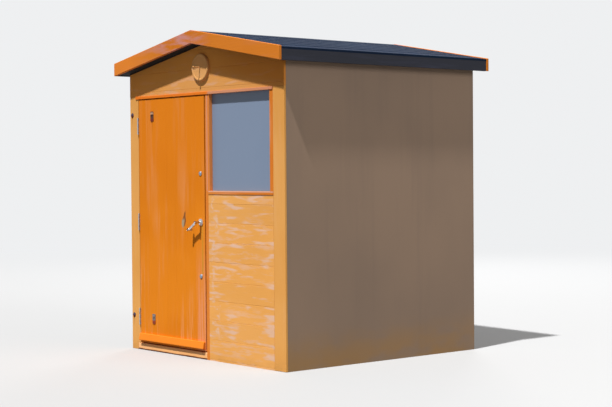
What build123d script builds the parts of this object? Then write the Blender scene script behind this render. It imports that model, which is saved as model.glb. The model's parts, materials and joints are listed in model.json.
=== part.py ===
from build123d import *
import os
from math import cos, radians, tan

# A small timber beach hut with one outward-opening door and one fixed front light.
# Millimetres. +Z is up, the front faces -Y and +X is to the right seen from the front.
# The origin is the centre of the walls' footprint, on the ground.

# Overall form
hut_width = 1866.0
hut_depth = 1830.0
gable_side_height = 247.5       # gable boarding at the outer corners
roof_pitch = 10.13
side_overhang = 70.0            # wall face to the outer face of the fascia
end_overhang = 98.0             # wall face to the outer face of the bargeboards

# Sheet and board thicknesses
cladding = 18.0
side_sheet = 12.0
roof_deck = 24.0                # measured plumb, with its felt
barge_thickness = 25.0
barge_height = 96.0             # measured plumb
fascia_thickness = 20.0
soffit_lift = 2.0               # boxed underside of the overhang, above the foot of the barge

# Floor
bearer_height = 35.0
bearer_width = 70.0
floor_thickness = 16.0

# Framing
frame_depth = 70.0
left_post_width = 80.0
right_post_width = 122.0
jamb_width = 32.0
mullion_width = 48.0
mullion_face_width = 35.0       # what shows of the mullion below the sill
window_jamb_width = 36.0
stop_width = 15.0
head_lip = 20.0
head_lip_proud = 6.0
head_depth = 60.0
stud_size = 45.0
plate_height = 62.0
ridge_beam_depth = 110.0
rail_height = 50.0

# Window
sill_top = 1215.0
sill_thickness = 25.0
sill_projection = 18.0
sill_fall = 6.0
window_recess = 30.0
pane_thickness = 9.0
pane_lap = 8.0                  # how far the pane reaches behind the rebate lips

# Door leaf
leaf_width = 840.0
leaf_height = 1840.0
leaf_boards = 20.0
leaf_frame = 22.0
gap_under_leaf = 9.0
gap_over_leaf = 5.0
hinge_gap = 5.0
latch_gap = 12.0
gap_behind_leaf = 5.0
stile_width = 70.0
top_rail = 110.0
bottom_rail = 140.0
lock_rail = 160.0
brace_width = 80.0

# Drip board on the foot of the door
drip_inset = 6.0
drip_raise = 15.0
drip_height = 53.0
drip_projection = 24.0
drip_nose = 9.0
drip_ledge = 15.0               # flat part of its top, against the leaf

# Hinges
hinge_length = 126.0
hinge_plate = 2.5
hinge_plate_width = 33.0
knuckle_radius = 6.0
knuckle_stand_off = 1.0         # knuckles clear the front plane by this much
knuckle_count = 5
knuckle_gap = 0.5
pin_radius = 3.0
pin_clearance = 0.25
hinge_heights = (253.0, 975.0, 1702.0)

# Lever lock furniture
handle_height = 989.0
handle_inset = 46.0             # spindle to the free edge of the leaf
rose_radius = 25.0
rose_thickness = 8.0
rose_bore = 6.5
spindle_size = 8.0
spindle_bore = 9.0
lever_radius = 9.5
lever_reach = 74.0
lever_length = 102.0
lever_return = 56.0
lever_bend = 14.0
lever_droop = 32.0
running_gap = 0.3

# Small ironwork
post_bolt_radius = 18.0
post_bolt_head = 9.0
post_bolt_inset = 30.0
post_bolt_heights = (259.0, 1786.0)
bracket_width = 38.0
bracket_length = 74.0
bracket_plate = 4.0
bracket_bolt_radius = 12.0
bracket_bolt_head = 9.0         # its crown above the face of the door
bracket_inset = 181.0           # from the hinge edge of the leaf
bracket_heights = (246.0, 1770.0)
bolt_head_radius = 16.0
bolt_head_height = 8.0
bolt_head_inset = 48.0          # from the free edge of the leaf
bolt_head_heights = (598.0, 1339.0)
head_rim_share = 0.35           # upright edge of a domed head, as a share of its height

# Gable roundel, turned from one piece
roundel_radius = 99.0
roundel_thickness = 20.0
roundel_edge = 8.0              # its rounded outer edge
roundel_rim = 16.0
roundel_sink = 5.0
roundel_raise = 175.0           # centre above the foot of the gable boarding
boss_radius = 9.0
boss_waist = 4.5                # where the flare ends and the taper starts
boss_neck = 3.2
boss_length = 50.0
boss_ball = 13.0                # height of the ball above its neck

# Lines worked out from the sizes above
left = -hut_width / 2
right = hut_width / 2
front = -hut_depth / 2
back = hut_depth / 2
slope = tan(radians(roof_pitch))

floor_top = bearer_height + floor_thickness
leaf_bottom = floor_top + gap_under_leaf
leaf_top = leaf_bottom + leaf_height
head_bottom = leaf_top + gap_over_leaf
head_top = head_bottom + head_lip
wall_height = head_top + gable_side_height
soffit_peak = wall_height + hut_width / 2 * slope
roof_peak = soffit_peak + roof_deck
plate_bottom = wall_height - plate_height

jamb_left = left + left_post_width
jamb_face = jamb_left + jamb_width
leaf_left = jamb_face + hinge_gap
leaf_right = leaf_left + leaf_width
mullion_left = leaf_right + latch_gap
mullion_right = mullion_left + mullion_width
panel_left = mullion_left + mullion_face_width
post_right_left = right - right_post_width
window_jamb_left = post_right_left - window_jamb_width

cladding_back = front + cladding
frame_back = front + frame_depth
leaf_boards_back = front + leaf_boards
leaf_back = leaf_boards_back + leaf_frame
stop_front = leaf_back + gap_behind_leaf
pane_front = front + window_recess
pane_back = pane_front + pane_thickness
rear_lining = back - side_sheet
eave = hut_width / 2 + side_overhang
deck_edge = eave - fascia_thickness
barge_front = front - end_overhang
barge_back = back + end_overhang
deck_front = barge_front + barge_thickness
deck_back = barge_back - barge_thickness
soffit_box = barge_height - roof_deck - soffit_lift

panel_top = sill_top - sill_thickness
hinge_x = (jamb_face + leaf_left) / 2
hinge_y = front - knuckle_radius - knuckle_stand_off
spindle_x = leaf_right - handle_inset


def block(x0, x1, y0, y1, z0, z1):
    """A square-edged piece of timber between three pairs of planes."""
    size = Box(x1 - x0, y1 - y0, z1 - z0)
    return Pos((x0 + x1) / 2, (y0 + y1) / 2, (z0 + z1) / 2) * size


def along_y(points, y0, y1):
    """An outline of (x, z) points, run from y0 back to y1."""
    outline = Plane.XZ.offset(-y0) * Polygon(*points, align=None)
    return extrude(outline, amount=y1 - y0, dir=(0, 1, 0))


def along_x(points, x0, x1):
    """An outline of (y, z) points, run from x0 across to x1."""
    outline = Plane.YZ.offset(x0) * Polygon(*points, align=None)
    return extrude(outline, amount=x1 - x0, dir=(1, 0, 0))


def turned(outline):
    """A closed outline in x and y, turned about y and pointed out of the front."""
    return Rot(180, 0, 0) * revolve(make_face(outline), axis=Axis.Y)


def soffit(x):
    """Height of the underside of the roof deck at a distance x from the ridge."""
    return soffit_peak - abs(x) * slope


def hinge_spans():
    """Bottom and top of each of the three hinges."""
    return [(z - hinge_length / 2, z + hinge_length / 2) for z in hinge_heights]


# Floor and threshold

def make_floor_bearers():
    inner_left = left + side_sheet
    inner_right = right - side_sheet - bearer_width
    starts = [inner_left, (inner_left + inner_right) / 2, inner_right]
    bearers = [
        block(x, x + bearer_width, frame_back, rear_lining, 0, bearer_height)
        for x in starts
    ]
    return Compound(children=bearers)


def make_floor_boards():
    inner_left = left + side_sheet
    inner_right = right - side_sheet
    return block(inner_left, inner_right, frame_back, rear_lining, bearer_height, floor_top)


def make_threshold():
    return block(jamb_left, mullion_left, front, frame_back, 0, floor_top)


# Front framing

def make_front_post(outer, inner):
    """A corner post, cut back for the gable boarding and for the side sheet."""
    inward = 1 if inner > outer else -1
    behind_sheet = outer + inward * side_sheet
    x0, x1 = sorted((outer, inner))
    face = block(x0, x1, front, cladding_back, 0, head_top)
    x0, x1 = sorted((behind_sheet, inner))
    return face + block(x0, x1, cladding_back, frame_back, 0, plate_bottom)


def make_door_jamb():
    jamb = block(jamb_left, jamb_face, front, frame_back, floor_top, head_bottom)
    stop = block(jamb_face, jamb_face + stop_width, stop_front, frame_back, floor_top, head_bottom)
    jamb = jamb + stop
    for z0, z1 in hinge_spans():
        plate_back = front + hinge_plate_width
        jamb -= block(jamb_face - hinge_plate, jamb_face, front, plate_back, z0, z1)
    return jamb


def make_mullion_post():
    """The post between door and window: a stop on one side, two rebates on the other."""
    post = block(mullion_left, mullion_right, front, frame_back, 0, head_bottom)
    post += block(
        mullion_left - stop_width, mullion_left, stop_front, frame_back, floor_top, head_bottom
    )
    post -= block(panel_left, mullion_right, front, cladding_back, 0, panel_top)
    post -= block(
        mullion_right - pane_lap, mullion_right, pane_front, frame_back, panel_top, head_bottom
    )
    return post


def make_window_jamb():
    jamb = block(window_jamb_left, post_right_left, front, frame_back, sill_top, head_bottom)
    rebate = block(
        window_jamb_left, window_jamb_left + pane_lap, pane_front, frame_back, sill_top, head_bottom
    )
    return jamb - rebate


def make_head_rail():
    """The beam over door and window. Its lower lip shows as a thin band, and stops the door."""
    lip_front = front - head_lip_proud
    lip = block(jamb_left, post_right_left, lip_front, frame_back, head_bottom, head_top)
    beam = block(
        jamb_left, post_right_left, cladding_back, frame_back, head_top, head_top + head_depth
    )
    stop = block(
        jamb_face + stop_width, mullion_left - stop_width, stop_front, frame_back,
        head_bottom - stop_width - gap_over_leaf, head_bottom
    )
    return Compound(children=[lip, beam, stop])


def make_panel_rails():
    """Sole plate and sill rail behind the boarded panel."""
    sole = block(mullion_right, post_right_left, cladding_back, frame_back, 0, floor_top)
    sill_rail = block(
        mullion_right, post_right_left, cladding_back, frame_back, panel_top - rail_height, panel_top
    )
    return Compound(children=[sole, sill_rail])


def make_front_panel():
    return block(panel_left, post_right_left, front, cladding_back, 0, panel_top)


def make_window_sill():
    """A sill with a weathered top that carries the foot of the pane."""
    nose = front - sill_projection
    profile = [
        (nose, panel_top),
        (frame_back, panel_top),
        (frame_back, sill_top),
        (front, sill_top),
        (nose, sill_top - sill_fall),
    ]
    ear_profile = [
        (nose, panel_top),
        (front, panel_top),
        (front, sill_top),
        (nose, sill_top - sill_fall),
    ]
    sill = along_x(profile, mullion_right, post_right_left)
    return sill + along_x(ear_profile, panel_left, mullion_right)


def make_window_pane():
    return block(
        mullion_right - pane_lap, window_jamb_left + pane_lap, pane_front, pane_back,
        sill_top, head_bottom
    )


def make_gable(y0, y1, foot):
    """The end wall above a level line, up to the underside of the roof."""
    outline = [
        (left, foot),
        (right, foot),
        (right, wall_height),
        (0, soffit_peak),
        (left, wall_height),
    ]
    return along_y(outline, y0, y1)


# Side and back walls

def make_side_wall(side):
    inner = hut_width / 2 - side_sheet
    outline = [
        (side * hut_width / 2, 0),
        (side * inner, 0),
        (side * inner, soffit(inner)),
        (side * hut_width / 2, wall_height),
    ]
    return along_y(outline, cladding_back, rear_lining)


def make_wall_plate(side):
    outer = hut_width / 2 - side_sheet
    inner = outer - stud_size
    outline = [
        (side * outer, plate_bottom),
        (side * inner, plate_bottom),
        (side * inner, soffit(inner)),
        (side * outer, soffit(outer)),
    ]
    return along_y(outline, cladding_back, rear_lining)


def make_side_stud(side):
    outer = side * (hut_width / 2 - side_sheet)
    inner = outer - side * stud_size
    x0, x1 = sorted((outer, inner))
    return block(x0, x1, -stud_size / 2, stud_size / 2, floor_top, plate_bottom)


def make_back_post(side):
    outer = side * (hut_width / 2 - side_sheet)
    inner = outer - side * stud_size
    x0, x1 = sorted((outer, inner))
    return block(x0, x1, rear_lining - stud_size, rear_lining, floor_top, plate_bottom)


# Roof

def make_ridge_beam():
    half = stud_size / 2
    outline = [
        (-half, soffit_peak - ridge_beam_depth),
        (half, soffit_peak - ridge_beam_depth),
        (half, soffit(half)),
        (0, soffit_peak),
        (-half, soffit(half)),
    ]
    return along_y(outline, cladding_back, rear_lining)


def boxing(side, inner, outer, y0, y1):
    """Packing under the deck, outside the walls, down to the boxed underside."""
    outline = [
        (side * inner, soffit(inner) - soffit_box),
        (side * outer, soffit(outer) - soffit_box),
        (side * outer, soffit(outer)),
        (side * inner, soffit(inner)),
    ]
    return along_y(outline, y0, y1)


def make_roof_panel(side):
    """One slope of the deck, with its overhang boxed in at the two ends and at the eave."""
    outline = [
        (0, soffit_peak),
        (side * deck_edge, soffit(deck_edge)),
        (side * deck_edge, soffit(deck_edge) + roof_deck),
        (0, roof_peak),
    ]
    deck = along_y(outline, deck_front, deck_back)
    deck += boxing(side, 0, deck_edge, deck_front, front)
    deck += boxing(side, 0, deck_edge, back, deck_back)
    return deck + boxing(side, hut_width / 2, deck_edge, front, back)


def make_fascia(side):
    foot = soffit(eave) + roof_deck - barge_height
    outline = [
        (side * deck_edge, foot),
        (side * eave, foot),
        (side * eave, soffit(eave) + roof_deck),
        (side * deck_edge, soffit(deck_edge) + roof_deck),
    ]
    return along_y(outline, deck_front, deck_back)


def make_bargeboard(side, y0):
    """A raking board with a plumb cut at the ridge and at the eave."""
    outline = [
        (0, roof_peak),
        (side * eave, soffit(eave) + roof_deck),
        (side * eave, soffit(eave) + roof_deck - barge_height),
        (0, roof_peak - barge_height),
    ]
    return along_y(outline, y0, y0 + barge_thickness)


# Gable roundel

def make_gable_roundel():
    """A turned disc with a rounded edge, a raised rim and a slim boss that ends in a ball."""
    dish = roundel_thickness - roundel_sink
    neck = dish + boss_length
    tip = neck + boss_ball
    edge_foot = (roundel_radius, roundel_thickness - roundel_edge)
    edge_top = (roundel_radius - roundel_edge, roundel_thickness)
    side = Polyline((0, 0), (roundel_radius, 0), edge_foot)
    edge = TangentArc(edge_foot, edge_top, tangent=(0, 1))
    face = Polyline(
        edge_top,
        (roundel_radius - roundel_rim, roundel_thickness),
        (roundel_radius - roundel_rim - roundel_sink, dish),
        (boss_radius, dish),
    )
    waist = (boss_waist, dish + boss_radius - boss_waist)
    flare = TangentArc((boss_radius, dish), waist, tangent=(-1, 0))
    taper = Line(waist, (boss_neck, neck))
    ball = TangentArc((0, tip), (boss_neck, neck), tangent=(1, 0))
    axis = Line((0, tip), (0, 0))
    roundel = turned(side + edge + face + flare + taper + ball + axis)
    return Pos(0, front, head_top + roundel_raise) * roundel


# Door leaf

def make_door_leaf():
    leaf = block(leaf_left, leaf_right, front, leaf_boards_back, leaf_bottom, leaf_top)
    bore = Pos(spindle_x, front, handle_height) * Rot(90, 0, 0) * Cylinder(
        spindle_bore, 4 * leaf_boards
    )
    leaf -= bore
    for z0, z1 in hinge_spans():
        leaf -= block(leaf_left, leaf_left + hinge_plate, front, leaf_boards_back, z0, z1)
    return leaf


def door_bays():
    """The two openings of the door's back frame, as x and z limits."""
    x0 = leaf_left + stile_width
    x1 = leaf_right - stile_width
    lock_bottom = handle_height - lock_rail / 2
    lock_top = handle_height + lock_rail / 2
    lower = (x0, x1, leaf_bottom + bottom_rail, lock_bottom)
    upper = (x0, x1, lock_top, leaf_top - top_rail)
    return [lower, upper]


def make_door_frame():
    """Stiles and rails behind the boards, with the lock rail at the handle."""
    frame = block(leaf_left, leaf_right, leaf_boards_back, leaf_back, leaf_bottom, leaf_top)
    for x0, x1, z0, z1 in door_bays():
        frame -= block(x0, x1, leaf_boards_back, leaf_back, z0, z1)
    bore = Pos(spindle_x, leaf_back, handle_height) * Rot(90, 0, 0) * Cylinder(
        spindle_bore, 4 * leaf_frame
    )
    frame -= bore
    plate_back = front + hinge_plate_width
    for z0, z1 in hinge_spans():
        frame -= block(leaf_left, leaf_left + hinge_plate, leaf_boards_back, plate_back, z0, z1)
    return frame


def make_door_braces():
    """One brace a bay, rising from the hinge side to the free side."""
    braces = []
    for x0, x1, z0, z1 in door_bays():
        bay = block(x0, x1, leaf_boards_back, leaf_back, z0, z1)
        length = ((x1 - x0) ** 2 + (z1 - z0) ** 2) ** 0.5
        half_x = brace_width / 2 * length / (z1 - z0)
        bar = along_y(
            [(x0 - half_x, z0), (x0 + half_x, z0), (x1 + half_x, z1), (x1 - half_x, z1)],
            leaf_boards_back, leaf_back
        )
        braces.append((bar & bay).solid())
    return Compound(children=braces)


def make_drip_board():
    """A weatherboard with a leaning face that throws rain clear of the threshold."""
    foot = leaf_bottom + drip_raise
    top = foot + drip_height
    nose = front - drip_projection
    profile = [
        (front, foot),
        (front, top),
        (front - drip_ledge, top),
        (nose, foot + drip_nose),
        (nose, foot),
    ]
    return along_x(profile, leaf_left + drip_inset, leaf_right - drip_inset)


# Hinges

def knuckle_spans(z0, z1, first):
    """Every second knuckle of a hinge, counted up from the first one given."""
    pitch = (z1 - z0 + knuckle_gap) / knuckle_count
    spans = []
    for index in range(first, knuckle_count, 2):
        bottom = z0 + index * pitch
        spans.append((bottom, bottom + pitch - knuckle_gap))
    return spans


def upright_cylinder(radius, z0, z1):
    return Pos(hinge_x, hinge_y, (z0 + z1) / 2) * Cylinder(radius, z1 - z0)


def make_hinge_frame_leaves():
    """The fixed half of each hinge: plate, outer and middle knuckles, and the pin."""
    halves = []
    plate_back = front + hinge_plate_width
    for z0, z1 in hinge_spans():
        half = block(jamb_face - hinge_plate, jamb_face, front, plate_back, z0, z1)
        for k0, k1 in knuckle_spans(z0, z1, 0):
            half += block(jamb_face - hinge_plate, jamb_face, hinge_y, front, k0, k1)
            half += upright_cylinder(knuckle_radius, k0, k1)
        half += upright_cylinder(pin_radius, z0, z1)
        halves.append(half.solid())
    return Compound(children=halves)


def make_hinge_door_leaves():
    """The moving half of each hinge: plate and bored knuckles."""
    halves = []
    plate_back = front + hinge_plate_width
    for z0, z1 in hinge_spans():
        half = block(leaf_left, leaf_left + hinge_plate, front, plate_back, z0, z1)
        for k0, k1 in knuckle_spans(z0, z1, 1):
            half += block(leaf_left, leaf_left + hinge_plate, hinge_y, front, k0, k1)
            half += upright_cylinder(knuckle_radius, k0, k1)
        half -= upright_cylinder(pin_radius + pin_clearance, z0 - 1, z1 + 1)
        halves.append(half.solid())
    return Compound(children=halves)


# Lever furniture

def make_lever(side):
    """A round-bar lever in front (side -1) or behind (side 1), hanging below level."""
    face = front - rose_thickness if side < 0 else leaf_back + rose_thickness
    start = face + side * running_gap
    elbow = face + side * (lever_reach - lever_radius)
    end = elbow - side * lever_return
    path = FilletPolyline(
        (0, start, 0),
        (0, elbow, 0),
        (-lever_length, elbow, 0),
        (-lever_length, end, 0),
        radius=lever_bend,
    )
    section = Plane(origin=(0, start, 0), z_dir=(0, side, 0)) * Circle(lever_radius)
    lever = sweep(section, path=path)
    return Pos(spindle_x, 0, handle_height) * Rot(0, -lever_droop, 0) * lever


def make_lever_handle():
    lever = make_lever(-1)
    start = front - rose_thickness - running_gap
    end = leaf_back + rose_thickness + running_gap
    half = spindle_size / 2
    spindle = block(-half, half, start, end, -half, half)
    return lever + Pos(spindle_x, 0, handle_height) * Rot(0, -lever_droop, 0) * spindle


def make_handle_roses():
    roses = []
    for y in (front - rose_thickness / 2, leaf_back + rose_thickness / 2):
        rose = Cylinder(rose_radius, rose_thickness) - Cylinder(rose_bore, 2 * rose_thickness)
        roses.append(Pos(spindle_x, y, handle_height) * Rot(90, 0, 0) * rose)
    return Compound(children=roses)


# Small ironwork

def domed_head(radius, height, x, z):
    """A low domed bolt head on the front plane."""
    rim = height * head_rim_share
    side_line = Polyline((0, 0), (radius, 0), (radius, rim))
    crown = TangentArc((0, height), (radius, rim), tangent=(1, 0))
    return Pos(x, front, z) * turned(side_line + crown + Line((0, height), (0, 0)))


def make_post_bolts():
    x = left + post_bolt_inset
    return Compound(children=[
        domed_head(post_bolt_radius, post_bolt_head, x, z) for z in post_bolt_heights
    ])


def make_bolt_heads():
    x = leaf_right - bolt_head_inset
    return Compound(children=[
        domed_head(bolt_head_radius, bolt_head_height, x, z) for z in bolt_head_heights
    ])


def make_door_brackets():
    """Small upright plates on the face of the door, each with a domed bolt at its head."""
    x = leaf_left + bracket_inset
    half = bracket_width / 2
    brackets = []
    for z in bracket_heights:
        plate = block(
            x - half, x + half, front - bracket_plate, front,
            z - bracket_length / 2, z + bracket_length / 2
        )
        bolt = domed_head(bracket_bolt_radius, bracket_bolt_head, x, z + bracket_length / 4)
        brackets.append((plate + bolt).solid())
    return Compound(children=brackets)


nodes = {
    "floor_bearers": make_floor_bearers(),
    "floor_boards": make_floor_boards(),
    "threshold": make_threshold(),
    "front_post_left": make_front_post(left, jamb_left),
    "front_post_right": make_front_post(right, post_right_left),
    "door_jamb": make_door_jamb(),
    "mullion_post": make_mullion_post(),
    "window_jamb": make_window_jamb(),
    "head_rail": make_head_rail(),
    "panel_rails": make_panel_rails(),
    "front_panel": make_front_panel(),
    "front_gable": make_gable(front, cladding_back, head_top),
    "window_sill": make_window_sill(),
    "window_pane": make_window_pane(),
    "side_wall_left": make_side_wall(-1),
    "side_wall_right": make_side_wall(1),
    "side_stud_left": make_side_stud(-1),
    "side_stud_right": make_side_stud(1),
    "wall_plate_left": make_wall_plate(-1),
    "wall_plate_right": make_wall_plate(1),
    "back_wall": make_gable(rear_lining, back, 0),
    "back_post_left": make_back_post(-1),
    "back_post_right": make_back_post(1),
    "ridge_beam": make_ridge_beam(),
    "roof_left": make_roof_panel(-1),
    "roof_right": make_roof_panel(1),
    "fascia_left": make_fascia(-1),
    "fascia_right": make_fascia(1),
    "barge_front_left": make_bargeboard(-1, barge_front),
    "barge_front_right": make_bargeboard(1, barge_front),
    "barge_back_left": make_bargeboard(-1, barge_back - barge_thickness),
    "barge_back_right": make_bargeboard(1, barge_back - barge_thickness),
    "gable_roundel": make_gable_roundel(),
    "post_bolts": make_post_bolts(),
    "hinge_frame_leaves": make_hinge_frame_leaves(),
    "door_leaf": make_door_leaf(),
    "door_frame": make_door_frame(),
    "door_braces": make_door_braces(),
    "drip_board": make_drip_board(),
    "door_brackets": make_door_brackets(),
    "bolt_heads": make_bolt_heads(),
    "handle_roses": make_handle_roses(),
    "hinge_door_leaves": make_hinge_door_leaves(),
    "lever_handle": make_lever_handle(),
    "inner_lever": make_lever(1),
}

os.makedirs("parts", exist_ok=True)
for name, shape in nodes.items():
    export_step(shape, f"parts/{name}.step")
print(len(nodes), "nodes written")
print("ridge", round(roof_peak, 1), "eave", round(soffit(eave) + roof_deck, 1))
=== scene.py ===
# %% [markdown]
# # A small timber beach hut
#
# This notebook dresses the bare hut: the CAD model holds every piece at its real size, and
# here each piece gets boards, eased edges, nails, felt and paint that a winter by the sea
# has chalked. Units are metres, +Z is up, and the front of the hut faces -Y.
#
# The frame is loaded first. It gives each node's box, so nothing below is placed by eye.

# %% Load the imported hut
import json
from math import asin, atan, ceil, cos, degrees, pi, radians, sin, sqrt

import bpy
from mathutils import Matrix, Vector


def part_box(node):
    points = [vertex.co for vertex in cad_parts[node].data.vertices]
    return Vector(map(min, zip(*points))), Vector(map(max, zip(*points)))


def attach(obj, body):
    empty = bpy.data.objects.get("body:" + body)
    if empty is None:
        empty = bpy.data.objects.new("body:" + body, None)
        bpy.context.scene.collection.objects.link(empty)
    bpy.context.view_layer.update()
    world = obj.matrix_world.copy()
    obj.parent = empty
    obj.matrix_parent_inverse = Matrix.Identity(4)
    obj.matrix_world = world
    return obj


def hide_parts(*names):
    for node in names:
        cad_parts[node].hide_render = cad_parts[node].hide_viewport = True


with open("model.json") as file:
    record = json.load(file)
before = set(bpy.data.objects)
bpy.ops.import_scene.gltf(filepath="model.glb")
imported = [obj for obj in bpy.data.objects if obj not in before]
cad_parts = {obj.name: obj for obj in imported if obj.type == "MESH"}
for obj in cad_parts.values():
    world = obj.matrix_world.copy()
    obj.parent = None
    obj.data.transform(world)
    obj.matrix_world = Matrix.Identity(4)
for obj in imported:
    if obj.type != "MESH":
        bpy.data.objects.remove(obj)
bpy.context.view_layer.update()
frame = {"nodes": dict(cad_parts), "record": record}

# %% [markdown]
# ## Camera
#
# The photograph was taken standing, from well to the right of the door and about nine
# metres away, with a long lens. The camera keeps that place, height, tilt and lens, and is
# turned until the whole hut, with the side that its neighbour hides, is in the picture.

# %% Camera at the photograph's viewpoint
CAMERA_PLACE = Vector((8.408, -7.013, 1.351))
CAMERA_YAW = radians(49.95)
CAMERA_PITCH = radians(-1.289)
CAMERA_ROLL = radians(0.457)
CAMERA_LENS = 84.8


def camera_turn(yaw, pitch, roll):
    """A rotation that looks along +Y when all three angles are zero."""
    ahead = Vector((-sin(yaw) * cos(pitch), cos(yaw) * cos(pitch), sin(pitch)))
    level = Vector((cos(yaw), sin(yaw), 0.0))
    down = ahead.cross(level)
    right = cos(roll) * level + sin(roll) * down
    up = sin(roll) * level - cos(roll) * down
    return Matrix((right, up, -ahead)).transposed()


camera = bpy.data.objects.new("camera", bpy.data.cameras.new("camera"))
bpy.context.scene.collection.objects.link(camera)
camera.data.lens = CAMERA_LENS
camera.location = CAMERA_PLACE
camera.rotation_euler = camera_turn(CAMERA_YAW, CAMERA_PITCH, CAMERA_ROLL).to_euler()
bpy.context.scene.camera = camera
print("camera at", tuple(round(v, 3) for v in camera.location))

# %% [markdown]
# ## The workbench
#
# Each new piece is made the way a modeller would at the keyboard: add a primitive, pick
# some of its faces or edges, and use an edit-mode tool on them. An operator works on all
# that is selected, so every helper starts by clearing the selection. Edges and faces are
# picked by a test on their place or normal.
#
# Two repairs are built in. A bevel can leave vertices a hair apart, and the faces between
# them have no area and spoil the shading, so they are merged. A skin that was extruded or
# sawn can end up inside out, so its faces are turned until the volume inside is positive.

# %% Helpers that select
def deselect():
    if bpy.context.mode != "OBJECT":
        bpy.ops.object.mode_set(mode="OBJECT")
    bpy.ops.object.select_all(action="DESELECT")


def take(piece):
    """Make one object the active one, alone in the selection."""
    deselect()
    piece.select_set(True)
    bpy.context.view_layer.objects.active = piece
    return piece


def pick(piece, kind, test):
    """Enter edit mode with only the vertices, edges or faces selected that pass the test."""
    take(piece)
    mesh = piece.data
    for group in (mesh.vertices, mesh.edges, mesh.polygons):
        group.foreach_set("select", [False] * len(group))
    if kind == "EDGE":
        for edge in mesh.edges:
            edge.select = test(*[mesh.vertices[i].co for i in edge.vertices])
    elif kind == "FACE":
        for face in mesh.polygons:
            face.select = test(face.center, face.normal)
    else:
        for vertex in mesh.vertices:
            vertex.select = test(vertex.co)
    bpy.context.tool_settings.mesh_select_mode = (kind == "VERT", kind == "EDGE", kind == "FACE")
    bpy.ops.object.mode_set(mode="EDIT")


def pick_all(piece):
    """Enter edit mode with the whole piece selected."""
    pick(piece, "VERT", lambda place: True)


def done(piece):
    """Back to object mode."""
    bpy.ops.object.mode_set(mode="OBJECT")
    return piece


print("selecting is ready, mode", bpy.context.mode)

# %% Helpers that ease, shade and repair
HAIR = 0.00002
BEVEL_ANGLE = 25
SAWN_ANGLE = 32
TURNED_ANGLE = 40


def apply(piece, kind, **settings):
    """Add a modifier, set it up and apply it."""
    take(piece)
    modifier = piece.modifiers.new(kind.lower(), kind)
    for key, value in settings.items():
        setattr(modifier, key, value)
    bpy.ops.object.modifier_apply(modifier=modifier.name)
    return piece


def smooth(piece, angle=SAWN_ANGLE):
    """Shade smooth across edges below an angle, with the large flat faces left truly flat."""
    take(piece)
    bpy.ops.object.shade_smooth_by_angle(angle=radians(angle))
    return apply(piece, "WEIGHTED_NORMAL", mode="FACE_AREA", weight=100, keep_sharp=True)


def ease(piece, width=0.002, segments=2):
    """Round the sharp edges and shade the piece smooth across them."""
    apply(piece, "BEVEL", width=width, segments=segments, limit_method="ANGLE",
          angle_limit=radians(BEVEL_ANGLE), use_clamp_overlap=True)
    pick_all(piece)
    bpy.ops.mesh.remove_doubles(threshold=HAIR)
    return smooth(done(piece))


def enclosed(piece):
    """The volume inside a closed skin. It is negative when the skin is inside out."""
    piece.data.calc_loop_triangles()
    total = 0.0
    for triangle in piece.data.loop_triangles:
        a, b, c = (piece.data.vertices[i].co for i in triangle.vertices)
        total += a.dot(b.cross(c))
    return total / 6


def face_out(piece):
    """Turn every face outwards."""
    pick_all(piece)
    bpy.ops.mesh.normals_make_consistent(inside=False)
    done(piece)
    if enclosed(piece) < 0:
        pick_all(piece)
        bpy.ops.mesh.flip_normals()
        done(piece)
    return piece


print("vertices closer than", HAIR, "are merged")

# %% Helpers that move, bevel, join and copy
def move_part(piece, kind, step, test):
    """Move the picked vertices, edges or faces of a piece by a step."""
    pick(piece, kind, test)
    bpy.ops.transform.translate(value=step)
    return done(piece)


def bevel_edges(piece, width, segments, test):
    """Bevel only the picked edges."""
    pick(piece, "EDGE", test)
    bpy.ops.mesh.bevel(offset=width, segments=segments, affect="EDGES")
    return done(piece)


def join(name, parts):
    """Join several objects into one named piece."""
    take(parts[0])
    for part in parts:
        part.select_set(True)
    if len(parts) > 1:
        bpy.ops.object.join()
    parts[0].name = name
    return parts[0]


def copy_of(model, shift=(0, 0, 0), turn=None):
    """A copy with a mesh of its own, moved by a shift after an optional turn."""
    twin = model.copy()
    twin.data = model.data.copy()
    bpy.context.scene.collection.objects.link(twin)
    if turn is not None:
        twin.data.transform(turn)
    twin.data.transform(Matrix.Translation(shift))
    return twin


def discard(piece):
    bpy.data.objects.remove(piece)


# %% Helpers that make a piece and hand it over
FLAT_WITHIN = 0.3


def settled(name):
    """The primitive just added, with its place and turn applied, named and active."""
    bpy.ops.object.transform_apply(location=True, rotation=True, scale=True)
    piece = take(bpy.context.object)
    piece.name = name
    return piece


def timber(name, low, high):
    """A squared length of wood between two opposite corners."""
    deselect()
    low, high = Vector(low), Vector(high)
    bpy.ops.mesh.primitive_cube_add(size=1, location=(low + high) / 2, scale=high - low)
    return settled(name)


def bar_end(name, radius, place, vertices):
    """A filled circle square to Y, in edit mode with all of it selected."""
    deselect()
    bpy.ops.mesh.primitive_circle_add(vertices=vertices, radius=radius, fill_type="NGON",
                                      location=place, rotation=(pi / 2, 0, 0))
    piece = settled(name)
    bpy.ops.object.mode_set(mode="EDIT")
    bpy.ops.mesh.select_all(action="SELECT")
    return piece


def push(step):
    """Extrude what is selected and move it by a step."""
    bpy.ops.mesh.extrude_region_move(TRANSFORM_OT_translate={"value": step})


def shrink(ratio, centre):
    """Resize what is selected about a centre."""
    bpy.ops.transform.resize(value=(ratio, ratio, ratio), center_override=centre)


def turned_piece(name, middle, back, rings, vertices=48):
    """Rings of (radius, stand-out) about a line that leaves the plane y = back towards -Y."""
    radius, out = rings[0]
    x, z = middle
    piece = bar_end(name, radius, (x, back - out, z), vertices)
    for next_radius, next_out in rings[1:]:
        push((0, out - next_out, 0))
        if next_radius == 0:
            bpy.ops.mesh.merge(type="CENTER")
        else:
            shrink(next_radius / radius, (x, back - next_out, z))
        radius, out = next_radius, next_out
    return smooth(face_out(done(piece)), TURNED_ANGLE)


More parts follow.
